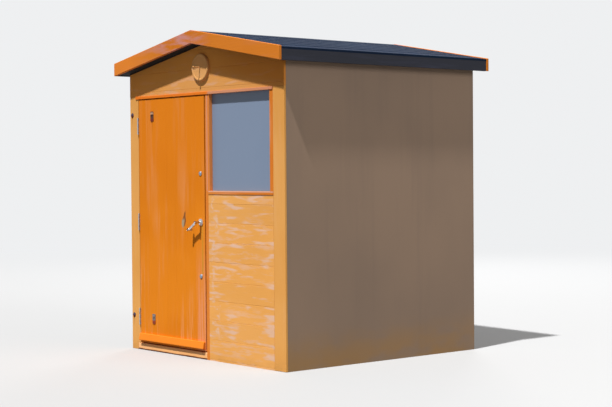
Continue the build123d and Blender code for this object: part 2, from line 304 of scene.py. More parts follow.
def from_frame(name, node):
    """A copy of a CAD node as clean flat faces, ready to be eased."""
    piece = copy_of(frame["nodes"][node])
    piece.name = name
    piece.parent = None
    for key in list(piece.keys()):
        del piece[key]
    piece.hide_render = False
    piece.hide_viewport = False
    pick_all(piece)
    bpy.ops.mesh.remove_doubles(threshold=HAIR)
    bpy.ops.mesh.dissolve_limited(angle_limit=radians(FLAT_WITHIN))
    return done(piece)


def hand_over(piece, body, slot, finish, *nodes):
    """Give a piece its finish, its body and the CAD nodes that it stands for."""
    piece.data.materials.clear()
    piece.data.materials.append(finish)
    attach(piece, body)
    if nodes:
        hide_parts(*nodes)
    return piece


def ease_nodes(body, rows):
    """Ease CAD nodes, each given as a piece's name, slot, finish, edge width and node."""
    for name, slot, finish, width, node in rows:
        hand_over(ease(from_frame(name, node), width), body, slot, finish, node)
    print("eased", len(rows), "pieces on", body)


print("workbench ready, faces within", FLAT_WITHIN, "degrees of flat are dissolved")

# %% [markdown]
# ## Mixing finishes
#
# Every surface reads Object coordinates, so a pattern stays put when the door swings. The
# small class below only shortens the wiring: a method makes a node, feeds its sockets and
# returns the output. Colours are written as they look on a screen, 0 to 255, and turned
# into the linear values that the shader wants.

# %% A short way to wire a material
def colour(red, green, blue):
    """A screen colour as linear values."""
    def linear(value):
        value = value / 255
        return value / 12.92 if value <= 0.04045 else ((value + 0.055) / 1.055) ** 2.4
    return (linear(red), linear(green), linear(blue), 1.0)


class Finish:
    """One Principled shader, and the nodes that feed it."""

    def __init__(self, name, roughness=0.6, metallic=0.0, gloss=0.5):
        self.material = bpy.data.materials.new(name)
        self.material.use_nodes = True
        self.tree = self.material.node_tree
        self.shader = self.tree.nodes["Principled BSDF"]
        self.shader.inputs["Roughness"].default_value = roughness
        self.shader.inputs["Metallic"].default_value = metallic
        self.shader.inputs["Specular IOR Level"].default_value = gloss
        self.place = self.node("ShaderNodeTexCoord").outputs["Object"]
        self.x, self.y, self.z = self.node("ShaderNodeSeparateXYZ", self.place).outputs

    def node(self, kind, *values, **settings):
        node = self.tree.nodes.new(kind)
        for key, value in settings.items():
            setattr(node, key, value)
        for socket, value in zip(node.inputs, values):
            self.feed(socket, value)
        return node

    def feed(self, socket, value):
        if isinstance(value, bpy.types.NodeSocket):
            self.tree.links.new(value, socket)
        else:
            socket.default_value = value

    def math(self, operation, *values):
        return self.node("ShaderNodeMath", *values, operation=operation).outputs[0]

    def times(self, product, *values):
        for value in values:
            product = self.math("MULTIPLY", product, value)
        return product

    def noise(self, stretch, detail=3.0, roughness=0.55, shift=(0, 0, 0), distortion=0.0):
        """Noise whose cells per metre are given for each axis."""
        mapping = self.node("ShaderNodeMapping")
        self.feed(mapping.inputs["Vector"], self.place)
        self.feed(mapping.inputs["Location"], shift)
        self.feed(mapping.inputs["Scale"], stretch)
        noise = self.node("ShaderNodeTexNoise")
        self.feed(noise.inputs["Vector"], mapping.outputs[0])
        self.feed(noise.inputs["Scale"], 1.0)
        self.feed(noise.inputs["Detail"], detail)
        self.feed(noise.inputs["Roughness"], roughness)
        self.feed(noise.inputs["Distortion"], distortion)
        return noise.outputs[0]

    def band(self, value, low, high, out_low=0.0, out_high=1.0):
        """A smooth step from one value to another."""
        node = self.node("ShaderNodeMapRange", value, low, high, out_low, out_high,
                         interpolation_type="SMOOTHSTEP")
        return node.outputs[0]

    def mix(self, factor, a, b):
        node = self.tree.nodes.new("ShaderNodeMix")
        node.data_type = "RGBA"
        self.feed(node.inputs[0], factor)
        self.feed(node.inputs[6], a)
        self.feed(node.inputs[7], b)
        return node.outputs[2]

    def tone(self, base, value, amount):
        """The base colour made darker and lighter by a value around a half."""
        hue = self.node("ShaderNodeHueSaturation")
        self.feed(hue.inputs["Color"], base)
        self.feed(hue.inputs["Value"], self.math("MULTIPLY_ADD", value, amount, 1 - amount / 2))
        return hue.outputs[0]

    def board_tone(self, base, axis, start, pitch, amount, seed):
        """Each board along an axis a little darker or lighter than the next one."""
        count = self.math("FLOOR", self.math("DIVIDE", self.math("SUBTRACT", axis, start), pitch))
        dice = self.node("ShaderNodeTexWhiteNoise", noise_dimensions="1D")
        self.feed(dice.inputs["W"], self.math("ADD", count, seed))
        return self.tone(base, dice.outputs[0], amount)

    def bump(self, height, distance):
        node = self.node("ShaderNodeBump")
        node.inputs["Distance"].default_value = distance
        self.feed(node.inputs["Height"], height)
        self.feed(self.shader.inputs["Normal"], node.outputs[0])

    def paint(self, base, roughness=None):
        self.feed(self.shader.inputs["Base Color"], base)
        if roughness is not None:
            self.feed(self.shader.inputs["Roughness"], roughness)
        return self.material


print("orange body colour, linear:", [round(v, 3) for v in colour(226, 165, 88)])

# %% [markdown]
# ## Studio
#
# A plain pale floor, an even sky, a sun lamp high in front, whose shadows are a little soft
# at the edge, and two weak area lamps for the side and the back. They stay low enough for a
# paint to render as it is mixed. What looks pale is only seen that way: the Light Path node
# tells rays that the camera, a gloss or a clear thing sends out from rays that light the
# hut, and only the first kind sees the pale colour. To the others the floor is as dark as
# tarmac, or it would throw light up under the eaves. The floor fades into the sky far from
# the hut, so no horizon cuts across the picture, and near the hut it keeps the shadow.

# %% Floor and sky
FLOOR_HALF = 60.0
FLOOR_GREY = 0.45
FLOOR_BOUNCE = 0.15
FADE_START = 4.5
FADE_END = 15.0
SKY_LIGHT = 0.20
PALE = (0.86, 0.87, 0.88, 1.0)


def only_seen(tree):
    """One for rays that see a surface, nought for rays that carry light to the hut."""
    rays = tree.nodes.new("ShaderNodeLightPath")
    seen = rays.outputs["Is Camera Ray"]
    for kind in ("Is Glossy Ray", "Is Transmission Ray"):
        either = tree.nodes.new("ShaderNodeMath")
        either.operation = "MAXIMUM"
        tree.links.new(seen, either.inputs[0])
        tree.links.new(rays.outputs[kind], either.inputs[1])
        seen = either.outputs[0]
    return seen


def mix_shaders(tree, factor, first, second, target):
    chooser = tree.nodes.new("ShaderNodeMixShader")
    tree.links.new(factor, chooser.inputs["Fac"])
    tree.links.new(first, chooser.inputs[1])
    tree.links.new(second, chooser.inputs[2])
    tree.links.new(chooser.outputs[0], target)


deselect()
bpy.ops.mesh.primitive_plane_add(size=2 * FLOOR_HALF)
floor = bpy.context.object
floor.name = "studio_floor"

paving = Finish("studio_floor", 0.9)
seen = only_seen(paving.tree)
paving.paint(paving.mix(seen, (FLOOR_BOUNCE,) * 3 + (1.0,), (FLOOR_GREY,) * 3 + (1.0,)))
reach = paving.node("ShaderNodeVectorMath", paving.place, operation="LENGTH").outputs["Value"]
faded = paving.times(paving.band(reach, FADE_START, FADE_END), seen)
glow = paving.node("ShaderNodeEmission", PALE)
mix_shaders(paving.tree, faded, paving.shader.outputs[0], glow.outputs[0],
            paving.tree.nodes["Material Output"].inputs["Surface"])
floor.data.materials.append(paving.material)

sky = bpy.data.worlds.new("studio_sky")
sky.use_nodes = True
bpy.context.scene.world = sky
light_side = sky.node_tree.nodes["Background"]
light_side.inputs["Color"].default_value = (1.0, 1.0, 1.0, 1.0)
light_side.inputs["Strength"].default_value = SKY_LIGHT
seen_side = sky.node_tree.nodes.new("ShaderNodeBackground")
seen_side.inputs["Color"].default_value = PALE
mix_shaders(sky.node_tree, only_seen(sky.node_tree), light_side.outputs[0], seen_side.outputs[0],
            sky.node_tree.nodes["World Output"].inputs["Surface"])
bpy.context.scene.view_settings.view_transform = "Standard"
print("sky strength", SKY_LIGHT, "floor grey", FLOOR_GREY)

# %% Lamps
KEY_TOWARDS = Vector((0.22, -1.0, 2.05))
KEY_LIGHT = 5.2
KEY_SOFTNESS = radians(2.0)
LAMPS = (
    ("lamp_side", (9.5, 1.5, 6.0), (0.9, 0.2, 1.2), 4.0, 300),
    ("lamp_back", (-8.0, 9.5, 7.0), (0, 0.5, 1.2), 4.0, 420),
)


def add_lamp(name, kind, strength, beam):
    """A lamp that shines along a direction."""
    lamp = bpy.data.objects.new(name, bpy.data.lights.new(name, kind))
    bpy.context.scene.collection.objects.link(lamp)
    lamp.data.energy = strength
    lamp.rotation_euler = beam.to_track_quat("-Z", "Y").to_euler()
    return lamp


key = add_lamp("lamp_front", "SUN", KEY_LIGHT, -KEY_TOWARDS)
key.data.angle = KEY_SOFTNESS
for name, place, target, size, watts in LAMPS:
    lamp = add_lamp(name, "AREA", watts, Vector(target) - Vector(place))
    lamp.location = place
    lamp.data.size = size
print("lamps", key.name, [lamp[0] for lamp in LAMPS])

# %% [markdown]
# ## Paint that the sea has chalked
#
# All the woodwork is softwood under old paint. Salt and sun bring up a pale lilac bloom that
# follows the grain, so it lies in level smears on the boards and hangs in upright streaks on
# the door. One recipe serves every coat: a body colour that drifts towards a deeper one,
# bloom from noise drawn out along the grain and kept to islands by a second noise, fine
# brush lines, and painted light that makes each coat a little paler towards the foot, as if
# lit from the ground. Dirt splashed up from the ground, patches and rust runs are laid over
# it as masks: a band is a soft step along one axis, and several of them multiplied make an
# area.

# %% The paint recipe
ALONG = 1.5
ACROSS = 15.0
BRUSH_ALONG = 6.0
BRUSH_ACROSS = 210.0
BRUSH_RELIEF = 0.0006
SPLASH_HEIGHT = 0.10
# Painted light: how much paler every coat gets towards the foot and darker towards the top.
PAINTED_GROUND_LIGHT = 0.09
PAINT_ROUGHNESS = 0.70
CHALK_ROUGHNESS = 0.25
PAINT_GLOSS = 0.12


def stretch(run, along, across):
    """Noise cells per metre, long in the direction of the grain."""
    return tuple(along if axis == run else across for axis in "xyz")


def coat(name, body, deep, bloom, run, chalky, spread, seed, cells=(ALONG, ACROSS), islands=0.40):
    """Old paint with its grain along one axis. Returns the finish and its colour so far."""
    finish = Finish(name, PAINT_ROUGHNESS, gloss=PAINT_GLOSS)
    shift = (seed, seed * 0.7, seed * 1.3)
    drift = finish.noise((1.7, 1.7, 1.7), 2, 0.5, shift)
    base = finish.mix(finish.band(drift, 0.38, 0.66), body, deep)
    smear = finish.noise(stretch(run, *cells), 4, 0.62, shift, 0.15)
    island = finish.noise(stretch(run, 1.2, 3.4), 2, 0.5, shift[::-1])
    finish.chalk = finish.times(finish.band(smear, spread, spread + 0.16),
                                finish.band(island, islands, islands + 0.22))
    base = finish.mix(finish.times(finish.chalk, chalky), base, bloom)
    finish.brush = finish.noise(stretch(run, BRUSH_ALONG, BRUSH_ACROSS), 2, 0.6, shift)
    base = finish.tone(base, finish.brush, 0.08)
    # Painted light: paler towards the foot, darker towards the top, as if lit from the ground.
    return finish, finish.tone(base, finish.band(finish.z, 2.2, 0.2), PAINTED_GROUND_LIGHT)


def weathered(finish, base):
    """The last coat: a duller bloom, and the brush lines as a fine relief."""
    finish.bump(finish.brush, BRUSH_RELIEF)
    dull = finish.math("MULTIPLY_ADD", finish.chalk, CHALK_ROUGHNESS, PAINT_ROUGHNESS)
    return finish.paint(base, dull)


def plain_coat(name, mix, **recipe):
    """A coat with nothing more painted over it."""
    return weathered(*coat(name, *mix, **recipe))


print("bloom cells per metre along and across the grain:", ALONG, ACROSS)

# %% Dirt, patches and rust runs to lay over a coat
def splashed(finish, base, amount):
    """Sand and dirt thrown up from the paving."""
    low = finish.band(finish.z, SPLASH_HEIGHT, 0.0)
    grit = finish.band(finish.noise((9, 9, 30), 4, 0.7), 0.35, 0.75)
    return finish.mix(finish.times(low, grit, amount), base, colour(120, 92, 66))


def patch(finish, base, x, z, shade, strength, soft, ragged=0.0):
    """Another colour between two x and two z, with soft edges."""
    across = finish.x
    if ragged:
        wobble = finish.math("SUBTRACT", finish.noise((30, 1, 12), 3), 0.5)
        across = finish.math("MULTIPLY_ADD", wobble, ragged, finish.x)
    sides = [finish.band(across, x[0] - soft, x[0]), finish.band(across, x[1] + soft, x[1]),
             finish.band(finish.z, z[0] - soft, z[0]), finish.band(finish.z, z[1] + soft, z[1])]
    return finish.mix(finish.times(*sides, strength), base, shade)


def rust_run(finish, base, x, z, width, length, strength):
    """A brown stain that starts at an iron fixing and runs down from it."""
    aside = finish.math("ABSOLUTE", finish.math("SUBTRACT", finish.x, x))
    wobble = finish.times(finish.noise((90, 1, 9), 3), width * 0.8)
    inside = finish.band(finish.math("ADD", aside, wobble), width, width * 0.45)
    fade = finish.band(finish.z, z - length, z - length * 0.05)
    top = finish.band(finish.z, z + 0.006, z - 0.002)
    return finish.mix(finish.times(inside, fade, top, strength), base, colour(118, 46, 16))


print("dirt reaches up to", SPLASH_HEIGHT)

# %% [markdown]
# ## Coats for the woodwork
#
# The wall boards, the posts and the roundel are light shades of orange. The trim round the
# door and the light is pinker, the door a strong orange with the most bloom, and the
# bargeboards are orange with a lilac bloom round the peak. Each coat is three colours: the
# body, a deeper one that it drifts towards, and the bloom. What the weather did to one place
# is laid over that as a patch, and so are a few places of painted light and painted shade;
# measures from the frame say where they lie.

# %% Three colours for each coat
WALL = (colour(231, 166, 90), colour(226, 160, 82), colour(223, 180, 152))
DISC_PAINT = (colour(214, 156, 94), colour(206, 148, 86), colour(214, 170, 140))
POST = (colour(224, 161, 86), colour(219, 154, 77), colour(228, 174, 118))
TRIM = (colour(220, 130, 50), colour(212, 118, 36), colour(222, 152, 112))
BAND = (colour(210, 146, 110), colour(202, 132, 98), colour(208, 158, 144))
DOOR = (colour(223, 129, 22), colour(217, 122, 14), colour(226, 146, 84))
DRIP = (colour(229, 129, 36), colour(223, 123, 30), colour(238, 158, 92))
STEP = (colour(246, 182, 118), colour(238, 172, 108), colour(240, 192, 152))
BARGE = (colour(211, 122, 36), colour(203, 114, 28), colour(202, 140, 124))
print("linear values of the door's body colour", [round(v, 3) for v in DOOR[0]])

# %% Measures that the coats and the boards need
BOARD_COVER = 0.1385
FIRST_JOINT = 0.0135

door_low, door_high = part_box("door_leaf")
bolt_low, bolt_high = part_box("post_bolts")
plate_low, plate_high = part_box("door_brackets")
rose_low, rose_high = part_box("handle_roses")
light_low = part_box("window_pane")[0]
light_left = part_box("mullion_post")[1].x
sill_low, sill_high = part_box("window_sill")
gable_low, gable_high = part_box("front_gable")
side_low, side_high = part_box("side_wall_right")
roof_low, roof_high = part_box("roof_right")
panel_low, panel_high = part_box("front_panel")
front_plane = panel_low.y
SLOPE = (gable_high.z - side_high.z) / side_low.x


def middle_and_half(node):
    """The x of a node's middle, and half its width, which is a round part's radius."""
    low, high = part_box(node)
    return (low.x + high.x) / 2, (high.x - low.x) / 2


bolt_x, bolt_radius = middle_and_half("post_bolts")
plate_x = middle_and_half("door_brackets")[0]
spindle_x, rose_radius = middle_and_half("handle_roses")
print("the roof falls", round(SLOPE, 4), "per metre from the ridge")

# %% Coats for the boards, the posts and the roundel
def painted_eave_shade(finish, base):
    """Painted shade: deeper orange where the overhang's shadow falls, and a black shadow line under
    the soffit.
    """
    line = finish.math("MULTIPLY_ADD", finish.math("ABSOLUTE", finish.x), -SLOPE,
                       roof_low.z + roof_high.x * SLOPE)
    below = finish.math("SUBTRACT", line, finish.z)
    # Painted shade: the band that the overhang's shadow covers, deeper and warmer towards the
    # right.
    overhang_shade = finish.times(finish.band(below, 0.26, 0.12), 0.75)
    deep = finish.mix(finish.band(finish.x, -0.1, 0.6), colour(220, 144, 56), colour(200, 120, 30))
    base = finish.mix(overhang_shade, base, deep)
    # Painted shade: a near-black line just under the soffit.
    return finish.mix(finish.band(below, 0.013, 0.008), base, colour(38, 26, 20))


def wall_coat():
    """Bloom in level smears, smudges, a column of spots below the light, a duller gable and painted
    shade under the eaves.
    """
    finish, base = coat("wall_orange", *WALL, run="x", chalky=0.52, spread=0.49, seed=3.0,
                        cells=(6.0, 40), islands=0.33)
    smudges = finish.band(finish.noise((4.5, 1, 26), 2, 0.4, (8, 0, 5)), 0.56, 0.68)
    base = finish.mix(finish.times(smudges, 0.65), base, colour(224, 190, 172))
    base = finish.board_tone(base, finish.z, FIRST_JOINT, BOARD_COVER, 0.06, 11.0)
    spots = finish.band(finish.noise((14, 1, 22), 3, 0.6, (5, 0, 2)), 0.52, 0.66)
    column = (light_low.x + 0.045, light_low.x + 0.095)
    base = patch(finish, base, column, (0.1, 1.15), colour(224, 190, 168),
                 finish.times(spots, 0.65), 0.035, 0.05)
    base = patch(finish, base, (-1.0, 1.0), (gable_low.z, 2.5), colour(206, 142, 78), 0.6, 0.1)
    return weathered(finish, splashed(finish, painted_eave_shade(finish, base), 0.15))


def post_coat():
    """A rust run hangs below each of the two bolts."""
    finish, base = coat("post_orange", *POST, run="z", chalky=0.55, spread=0.50, seed=8.0)
    for z in (bolt_low.z, bolt_high.z - 2 * bolt_radius):
        base = rust_run(finish, base, bolt_x, z + 0.004, 0.009, 0.09, 0.55)
    return weathered(finish, splashed(finish, base, 0.3))


wall_orange = wall_coat()
post_orange = post_coat()
roundel_orange = plain_coat("roundel_orange", DISC_PAINT, run="x", chalky=0.6, spread=0.50,
                            seed=21.0, cells=(9.0, 30))
print("first coats", [m.name for m in bpy.data.materials])

# %% Coats for the trim, the sills and the bargeboards
def trim_coat():
    """Beside the light the post's face is bleached, and its return to the pane gets painted light,
    a brighter orange.
    """
    finish, base = coat("trim_pink_orange", *TRIM, run="z", chalky=0.6, spread=0.47, seed=5.0)
    beside_light = (sill_high.z, 2.0)
    middle = (light_low.x - 0.024, light_low.x - 0.012)
    base = patch(finish, base, middle, beside_light, colour(214, 150, 128), 0.55, 0.004, 0.006)
    # Painted light: the post's side face towards the pane is made a brighter orange.
    painted_light_reveal = (light_left - 0.001, light_left + 0.001)
    base = patch(finish, base, painted_light_reveal, beside_light, colour(252, 154, 84), 1.0, 0.0005)
    return weathered(finish, splashed(finish, base, 0.2))


def band_coat():
    """The head: orange over the door, bleached pink over the light."""
    finish, base = coat("band_pink", *BAND, run="x", chalky=0.6, spread=0.47, seed=6.0)
    over_door = finish.band(finish.x, light_low.x + 0.02, light_low.x - 0.02)
    return weathered(finish, finish.mix(over_door, base, colour(226, 118, 30)))


def sill_coat():
    """Orange in front, with its upper edge bleached by rain that runs off the pane."""
    finish, base = coat("sill_orange", *TRIM, run="x", chalky=0.5, spread=0.50, seed=31.0)
    bleached = finish.band(finish.z, sill_high.z - 0.012, sill_high.z - 0.006)
    return weathered(finish, finish.mix(bleached, base, colour(188, 137, 110)))


def step_coat():
    """The door sill: scrubbed clean by feet, with a painted contact shadow, a dark line where it
    meets the paving.
    """
    finish, base = coat("step_orange", *STEP, run="x", chalky=0.5, spread=0.50, seed=9.0)
    grit = finish.times(finish.noise((8, 8, 30), 3), 0.010)
    # Painted shade: a dark line along the foot of the sill, where it meets the paving.
    foot = finish.band(finish.math("ADD", finish.z, grit), 0.019, 0.011)
    return weathered(finish, finish.mix(foot, base, colour(104, 52, 28)))


def barge_coat():
    """Lilac smears round the peak, mostly on its left, and fresher paint at the left end."""
    finish, base = coat("barge_orange", *BARGE, run="x", chalky=0.22, spread=0.48, seed=12.0)
    fresh = finish.times(finish.band(finish.x, -0.45, -0.85), 0.7)
    base = finish.mix(fresh, base, colour(227, 131, 46))
    left, right = finish.band(finish.x, -0.78, -0.10), finish.band(finish.x, 0.27, 0.0)
    smears = finish.band(finish.noise((3.5, 1, 22), 4, 0.6, (9, 0, 4), 0.3), 0.40, 0.62)
    lilac = finish.times(smears, left, right, 0.80)
    return weathered(finish, finish.mix(lilac, base, colour(196, 140, 140)))


trim_orange = trim_coat()
band_orange = band_coat()
sill_orange = sill_coat()
step_orange = step_coat()
barge_orange = barge_coat()
print("coats", len(bpy.data.materials))

# %% [markdown]
# ## The door's coat
#
# The door has weathered most. Its bloom hangs in tall streaks, the ironwork has bled rust
# down the paint, and the end of the old lever has worn a scar through to the grey wood a
# hand's breadth from the lock. The scar and the runs are masks made from the distance to a
# place on the door, roughened by noise.

# %% Door paint with its scar and rust runs
DOOR_BOARDS = 7
door_cover = (door_high.x - door_low.x) / DOOR_BOARDS

SCAR_X = door_low.x + 0.583
SCAR_Z = 1.006
SCAR_TOP_WIDTH = 0.026
SCAR_FOOT_WIDTH = 0.056
SCAR_HEIGHT = 0.128
SCAR_LEAN = 0.22


def scar(finish, base):
    """A worn upright patch, brown and narrow at its top, wide and grey below."""
    up = finish.math("SUBTRACT", finish.z, SCAR_Z)
    lean = finish.times(up, SCAR_LEAN)
    aside = finish.math("SUBTRACT", finish.math("SUBTRACT", finish.x, SCAR_X), lean)
    half_width = finish.band(up, 0.03, -0.02, SCAR_TOP_WIDTH / 2, SCAR_FOOT_WIDTH / 2)
    flat = finish.math("POWER", finish.math("DIVIDE", aside, half_width), 2.0)
    tall = finish.math("POWER", finish.math("DIVIDE", up, SCAR_HEIGHT / 2), 2.0)
    ragged = finish.times(finish.noise((120, 1, 60), 4, 0.7), 0.9)
    distance = finish.math("ADD", finish.math("ADD", flat, tall), ragged)
    mask = finish.band(distance, 1.5, 1.15)
    old = finish.times(finish.band(up, 0.015, -0.015), finish.band(aside, 0.014, -0.002))
    wood = finish.mix(old, colour(124, 78, 44), colour(164, 152, 124))
    return finish.mix(finish.times(mask, 0.9), base, wood)


def door_coat(name, chalky, with_marks):
    """The front has the bloom at its free edge, a stain by the lever, the scar and the rust."""
    finish, base = coat(name, *DOOR, run="z", chalky=chalky, spread=0.45, seed=17.0,
                        cells=(1.1, 22))
    base = finish.board_tone(base, finish.x, door_low.x, door_cover, 0.035, 4.0)
    base = patch(finish, base, (-1.0, 1.0), (1.55, 2.5), colour(219, 120, 12), 0.55, 0.5)
    if with_marks:
        streaks = finish.band(finish.noise((38, 1, 1.3), 3, 0.6, (3, 0, 8)), 0.30, 0.58)
        lower = finish.times(finish.band(finish.z, 0.95, 0.35), streaks)
        edge = (door_high.x - 0.080, door_high.x + 0.02)
        base = patch(finish, base, edge, (-0.1, 2.0), colour(230, 146, 98), lower, 0.045, 0.03)
        stain = (spindle_x + 0.010, spindle_x + 0.020)
        base = patch(finish, base, stain, (0.62, 0.97), colour(203, 140, 40), 0.8, 0.007, 0.008)
        base = scar(finish, base)
        base = rust_run(finish, base, plate_x, plate_low.z + 0.01, 0.013, 0.05, 0.45)
        base = rust_run(finish, base, plate_x, plate_high.z - 0.07, 0.013, 0.12, 0.35)
    return weathered(finish, base)


door_orange = door_coat("door_orange", 0.75, True)
door_inner = door_coat("door_inner", 0.35, False)
drip_orange = plain_coat("drip_orange", DRIP, run="x", chalky=0.25, spread=0.50, seed=31.0)
print("scar at", round(SCAR_X, 3), SCAR_Z)

# %% [markdown]
# ## Plain coats and bare wood
#
# The sides are sheet painted taupe, a taupe taken as it looks in shade, so it is partly
# painted shade, and stained brown where rain splashes up. Indoors the wood was never painted,
# and the same sheet is bare on its inner face, so that coat asks how far a point lies from
# the middle of the hut.

# %% Bare wood for posts, lengths, floor and roof deck
FLOOR_COVER = 0.095
DECK_COVER = 0.1
floor_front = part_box("floor_boards")[0].y
wall_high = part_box("back_wall")[1]


def bare_wood_colour(finish, run):
    rings = finish.noise(stretch(run, 1.2, 26.0), 4, 0.6, (4, 2, 9), 1.2)
    base = finish.mix(finish.band(rings, 0.35, 0.68), colour(196, 158, 112), colour(158, 116, 74))
    return finish.tone(base, finish.noise(stretch(run, 8, 240), 2), 0.12)


def sawn_wood(name, run):
    """Unpainted softwood with its grain along one axis."""
    finish = Finish(name, 0.78, gloss=0.2)
    finish.bump(finish.noise(stretch(run, 6, 180), 3), 0.0006)
    return finish, bare_wood_colour(finish, run)


def framing_coat(name, run):
    finish, base = sawn_wood(name, run)
    return finish.paint(base)


def floor_coat():
    """Floor boards of several shades, greyed where feet have trodden."""
    finish, base = sawn_wood("floor_wood", "x")
    base = finish.board_tone(base, finish.y, floor_front, FLOOR_COVER, 0.22, 7.0)
    trodden = finish.band(finish.noise((3, 3, 1), 4, 0.6), 0.42, 0.7)
    return finish.paint(finish.mix(finish.times(trodden, 0.45), base, colour(120, 100, 80)))


def deck_coat():
    """Bare boards indoors, and near-black painted shade where the roof passes the walls."""
    finish, base = sawn_wood("deck_wood", "y")
    base = finish.board_tone(base, finish.x, 0.0, DECK_COVER, 0.16, 2.0)
    # Painted shade: the soffit beyond the walls is near-black.
    beyond_x = finish.math("GREATER_THAN", finish.math("ABSOLUTE", finish.x), wall_high.x)
    beyond_y = finish.math("GREATER_THAN", finish.math("ABSOLUTE", finish.y), wall_high.y)
    outside = finish.math("MAXIMUM", beyond_x, beyond_y)
    return finish.paint(finish.mix(outside, base, colour(18, 15, 13)))


upright_wood = framing_coat("upright_wood", "z")
long_wood = framing_coat("long_wood", "y")
floor_wood = floor_coat()
deck_wood = deck_coat()
print("bare wood inside x", round(wall_high.x, 3))

# %% Taupe sheet, black fascia, felt and the grey pane
SHEET_INNER = 0.006


def side_coat():
    """Taupe with faint runs and a brown foot outside, bare wood inside."""
    finish = Finish("side_taupe", 0.7, gloss=0.2)
    drift = finish.noise((0.9, 0.9, 0.6), 3, 0.5, (2, 5, 1))
    # Partly painted shade: the taupe is the sheet's colour as it looks in shade.
    body = finish.mix(finish.band(drift, 0.35, 0.7), colour(150, 126, 106), colour(138, 117, 100))
    runs = finish.band(finish.noise((7, 7, 0.5), 3, 0.6), 0.5, 0.8)
    body = finish.mix(finish.times(runs, 0.25), body, colour(122, 104, 92))
    spots = finish.band(finish.noise((2.6, 2.6, 5), 3), 0.3, 0.62)
    stain = finish.times(finish.band(finish.z, 0.34, 0.0), spots, 0.8)
    body = finish.mix(stain, body, colour(160, 122, 76))
    finish.bump(finish.noise((160, 160, 160), 2), 0.0003)

    def deep(place, outer):
        return finish.band(place, outer - SHEET_INNER, outer - SHEET_INNER - 0.001)
    indoors = finish.times(deep(finish.math("ABSOLUTE", finish.x), wall_high.x),
                           deep(finish.y, wall_high.y))
    return finish.paint(finish.mix(indoors, body, bare_wood_colour(finish, "y")))


def black_coat():
    """Near-black: partly the edge's own dark blue-grey and partly painted shade, worn a little
    greyer along the grain.
    """
    finish = Finish("fascia_black", 0.45, gloss=0.25)
    worn = finish.band(finish.noise(stretch("y", 1.5, 20), 4, 0.6), 0.45, 0.75)
    # Partly painted shade: these colours are darker than the roof edge's own dark blue-grey.
    base = finish.mix(worn, colour(17, 19, 32), colour(34, 36, 52))
    finish.bump(finish.noise(stretch("y", 5, 150), 3), 0.0005)
    return finish.paint(base)


def felt_coat():
    """Slate-blue mineral felt: fine grit, paler where the grit has worn at the laps."""
    finish = Finish("roof_felt", 0.9, gloss=0.05)
    drift = finish.noise((1.1, 1.1, 1.1), 3, 0.6, (7, 1, 3))
    base = finish.mix(finish.band(drift, 0.3, 0.7), colour(22, 33, 53), colour(28, 41, 62))
    grit = finish.noise((420, 420, 420), 2, 0.7)
    base = finish.mix(finish.band(grit, 0.55, 0.75), base, colour(46, 62, 84))
    stains = finish.band(finish.noise((5, 0.8, 5), 3), 0.52, 0.75)
    base = finish.mix(finish.times(stains, 0.35), base, colour(26, 54, 70))
    finish.bump(grit, 0.0007)
    return finish.paint(base)


def pane_coat():
    """A smooth grey-blue sheet with a little dried salt."""
    finish = Finish("pane_grey", 0.45, gloss=0.2)
    drift = finish.noise((1.4, 1.4, 0.9), 2, 0.5, (1, 1, 6))
    base = finish.mix(finish.band(drift, 0.3, 0.7), colour(122, 137, 160), colour(118, 134, 158))
    salt = finish.band(finish.noise((60, 60, 14), 4, 0.7), 0.6, 0.8)
    base = finish.mix(finish.times(salt, 0.12), base, colour(168, 176, 188))
    return finish.paint(base, finish.band(salt, 0.0, 1.0, 0.34, 0.6))


side_taupe = side_coat()
fascia_black = black_coat()
roof_felt = felt_coat()
pane_grey = pane_coat()
print("finishes so far", len(bpy.data.materials))

# %% [markdown]
# ## Metals
#
# The bolts and the small plates have rusted through. The hinges are dull steel, browned in
# places, the two bolt heads are galvanised, and the lever is stainless steel that hands
# have kept bright.

# %% Rust, hinge steel, zinc and stainless steel
PLATE_LENGTH = 0.074


def post_bolt_coat():
    """Blue-black above, where the sun dries it, and wet maroon rust below."""
    finish = Finish("rusty_bolt", 0.8, 0.2)
    flakes = finish.noise((200, 200, 200), 3, 0.7)
    upper = finish.band(finish.z, 1.0, 1.001, bolt_low.z + bolt_radius, bolt_high.z - bolt_radius)
    height = finish.math("ADD", finish.math("SUBTRACT", finish.z, upper),
                         finish.times(flakes, 0.008))
    base = finish.mix(finish.band(height, -0.003, 0.009), colour(104, 40, 26), colour(52, 46, 70))
    finish.bump(flakes, 0.0010)
    return finish.paint(base)


def plate_coat():
    """Two rusted plates: the upper one brown with a painted highlight near its top, the lower one
    grey over rust.
    """
    finish = Finish("rusty_plate", 0.8, 0.2)
    flakes = finish.noise((180, 180, 180), 3, 0.7)
    ragged = finish.times(flakes, 0.014)
    is_upper = finish.math("GREATER_THAN", finish.z, 1.0)
    up = finish.math("ADD", finish.math("SUBTRACT", finish.z, plate_high.z - PLATE_LENGTH), ragged)
    # Painted highlight: a pale band across the top of the upper plate and its bolt head.
    painted_glint = finish.times(finish.band(up, 0.055, 0.061), finish.band(up, 0.076, 0.070))
    brown = finish.mix(finish.band(up, 0.020, 0.034), colour(112, 38, 26), colour(82, 46, 32))
    brown = finish.mix(painted_glint, brown, colour(176, 136, 104))
    low = finish.math("ADD", finish.math("SUBTRACT", finish.z, plate_low.z), ragged)
    grey = finish.mix(finish.band(low, 0.026, 0.040), colour(146, 60, 34), colour(122, 114, 112))
    finish.bump(flakes, 0.0012)
    return finish.paint(finish.mix(is_upper, grey, brown))


def hinge_coat():
    finish = Finish("hinge_steel", 0.42, 0.75)
    rust = finish.band(finish.noise((70, 70, 26), 4, 0.7), 0.56, 0.70)
    base = finish.mix(rust, colour(180, 178, 178), colour(124, 74, 50))
    finish.bump(finish.noise((300, 300, 300), 2), 0.0004)
    return finish.paint(base, finish.band(rust, 0.0, 1.0, 0.38, 0.85))


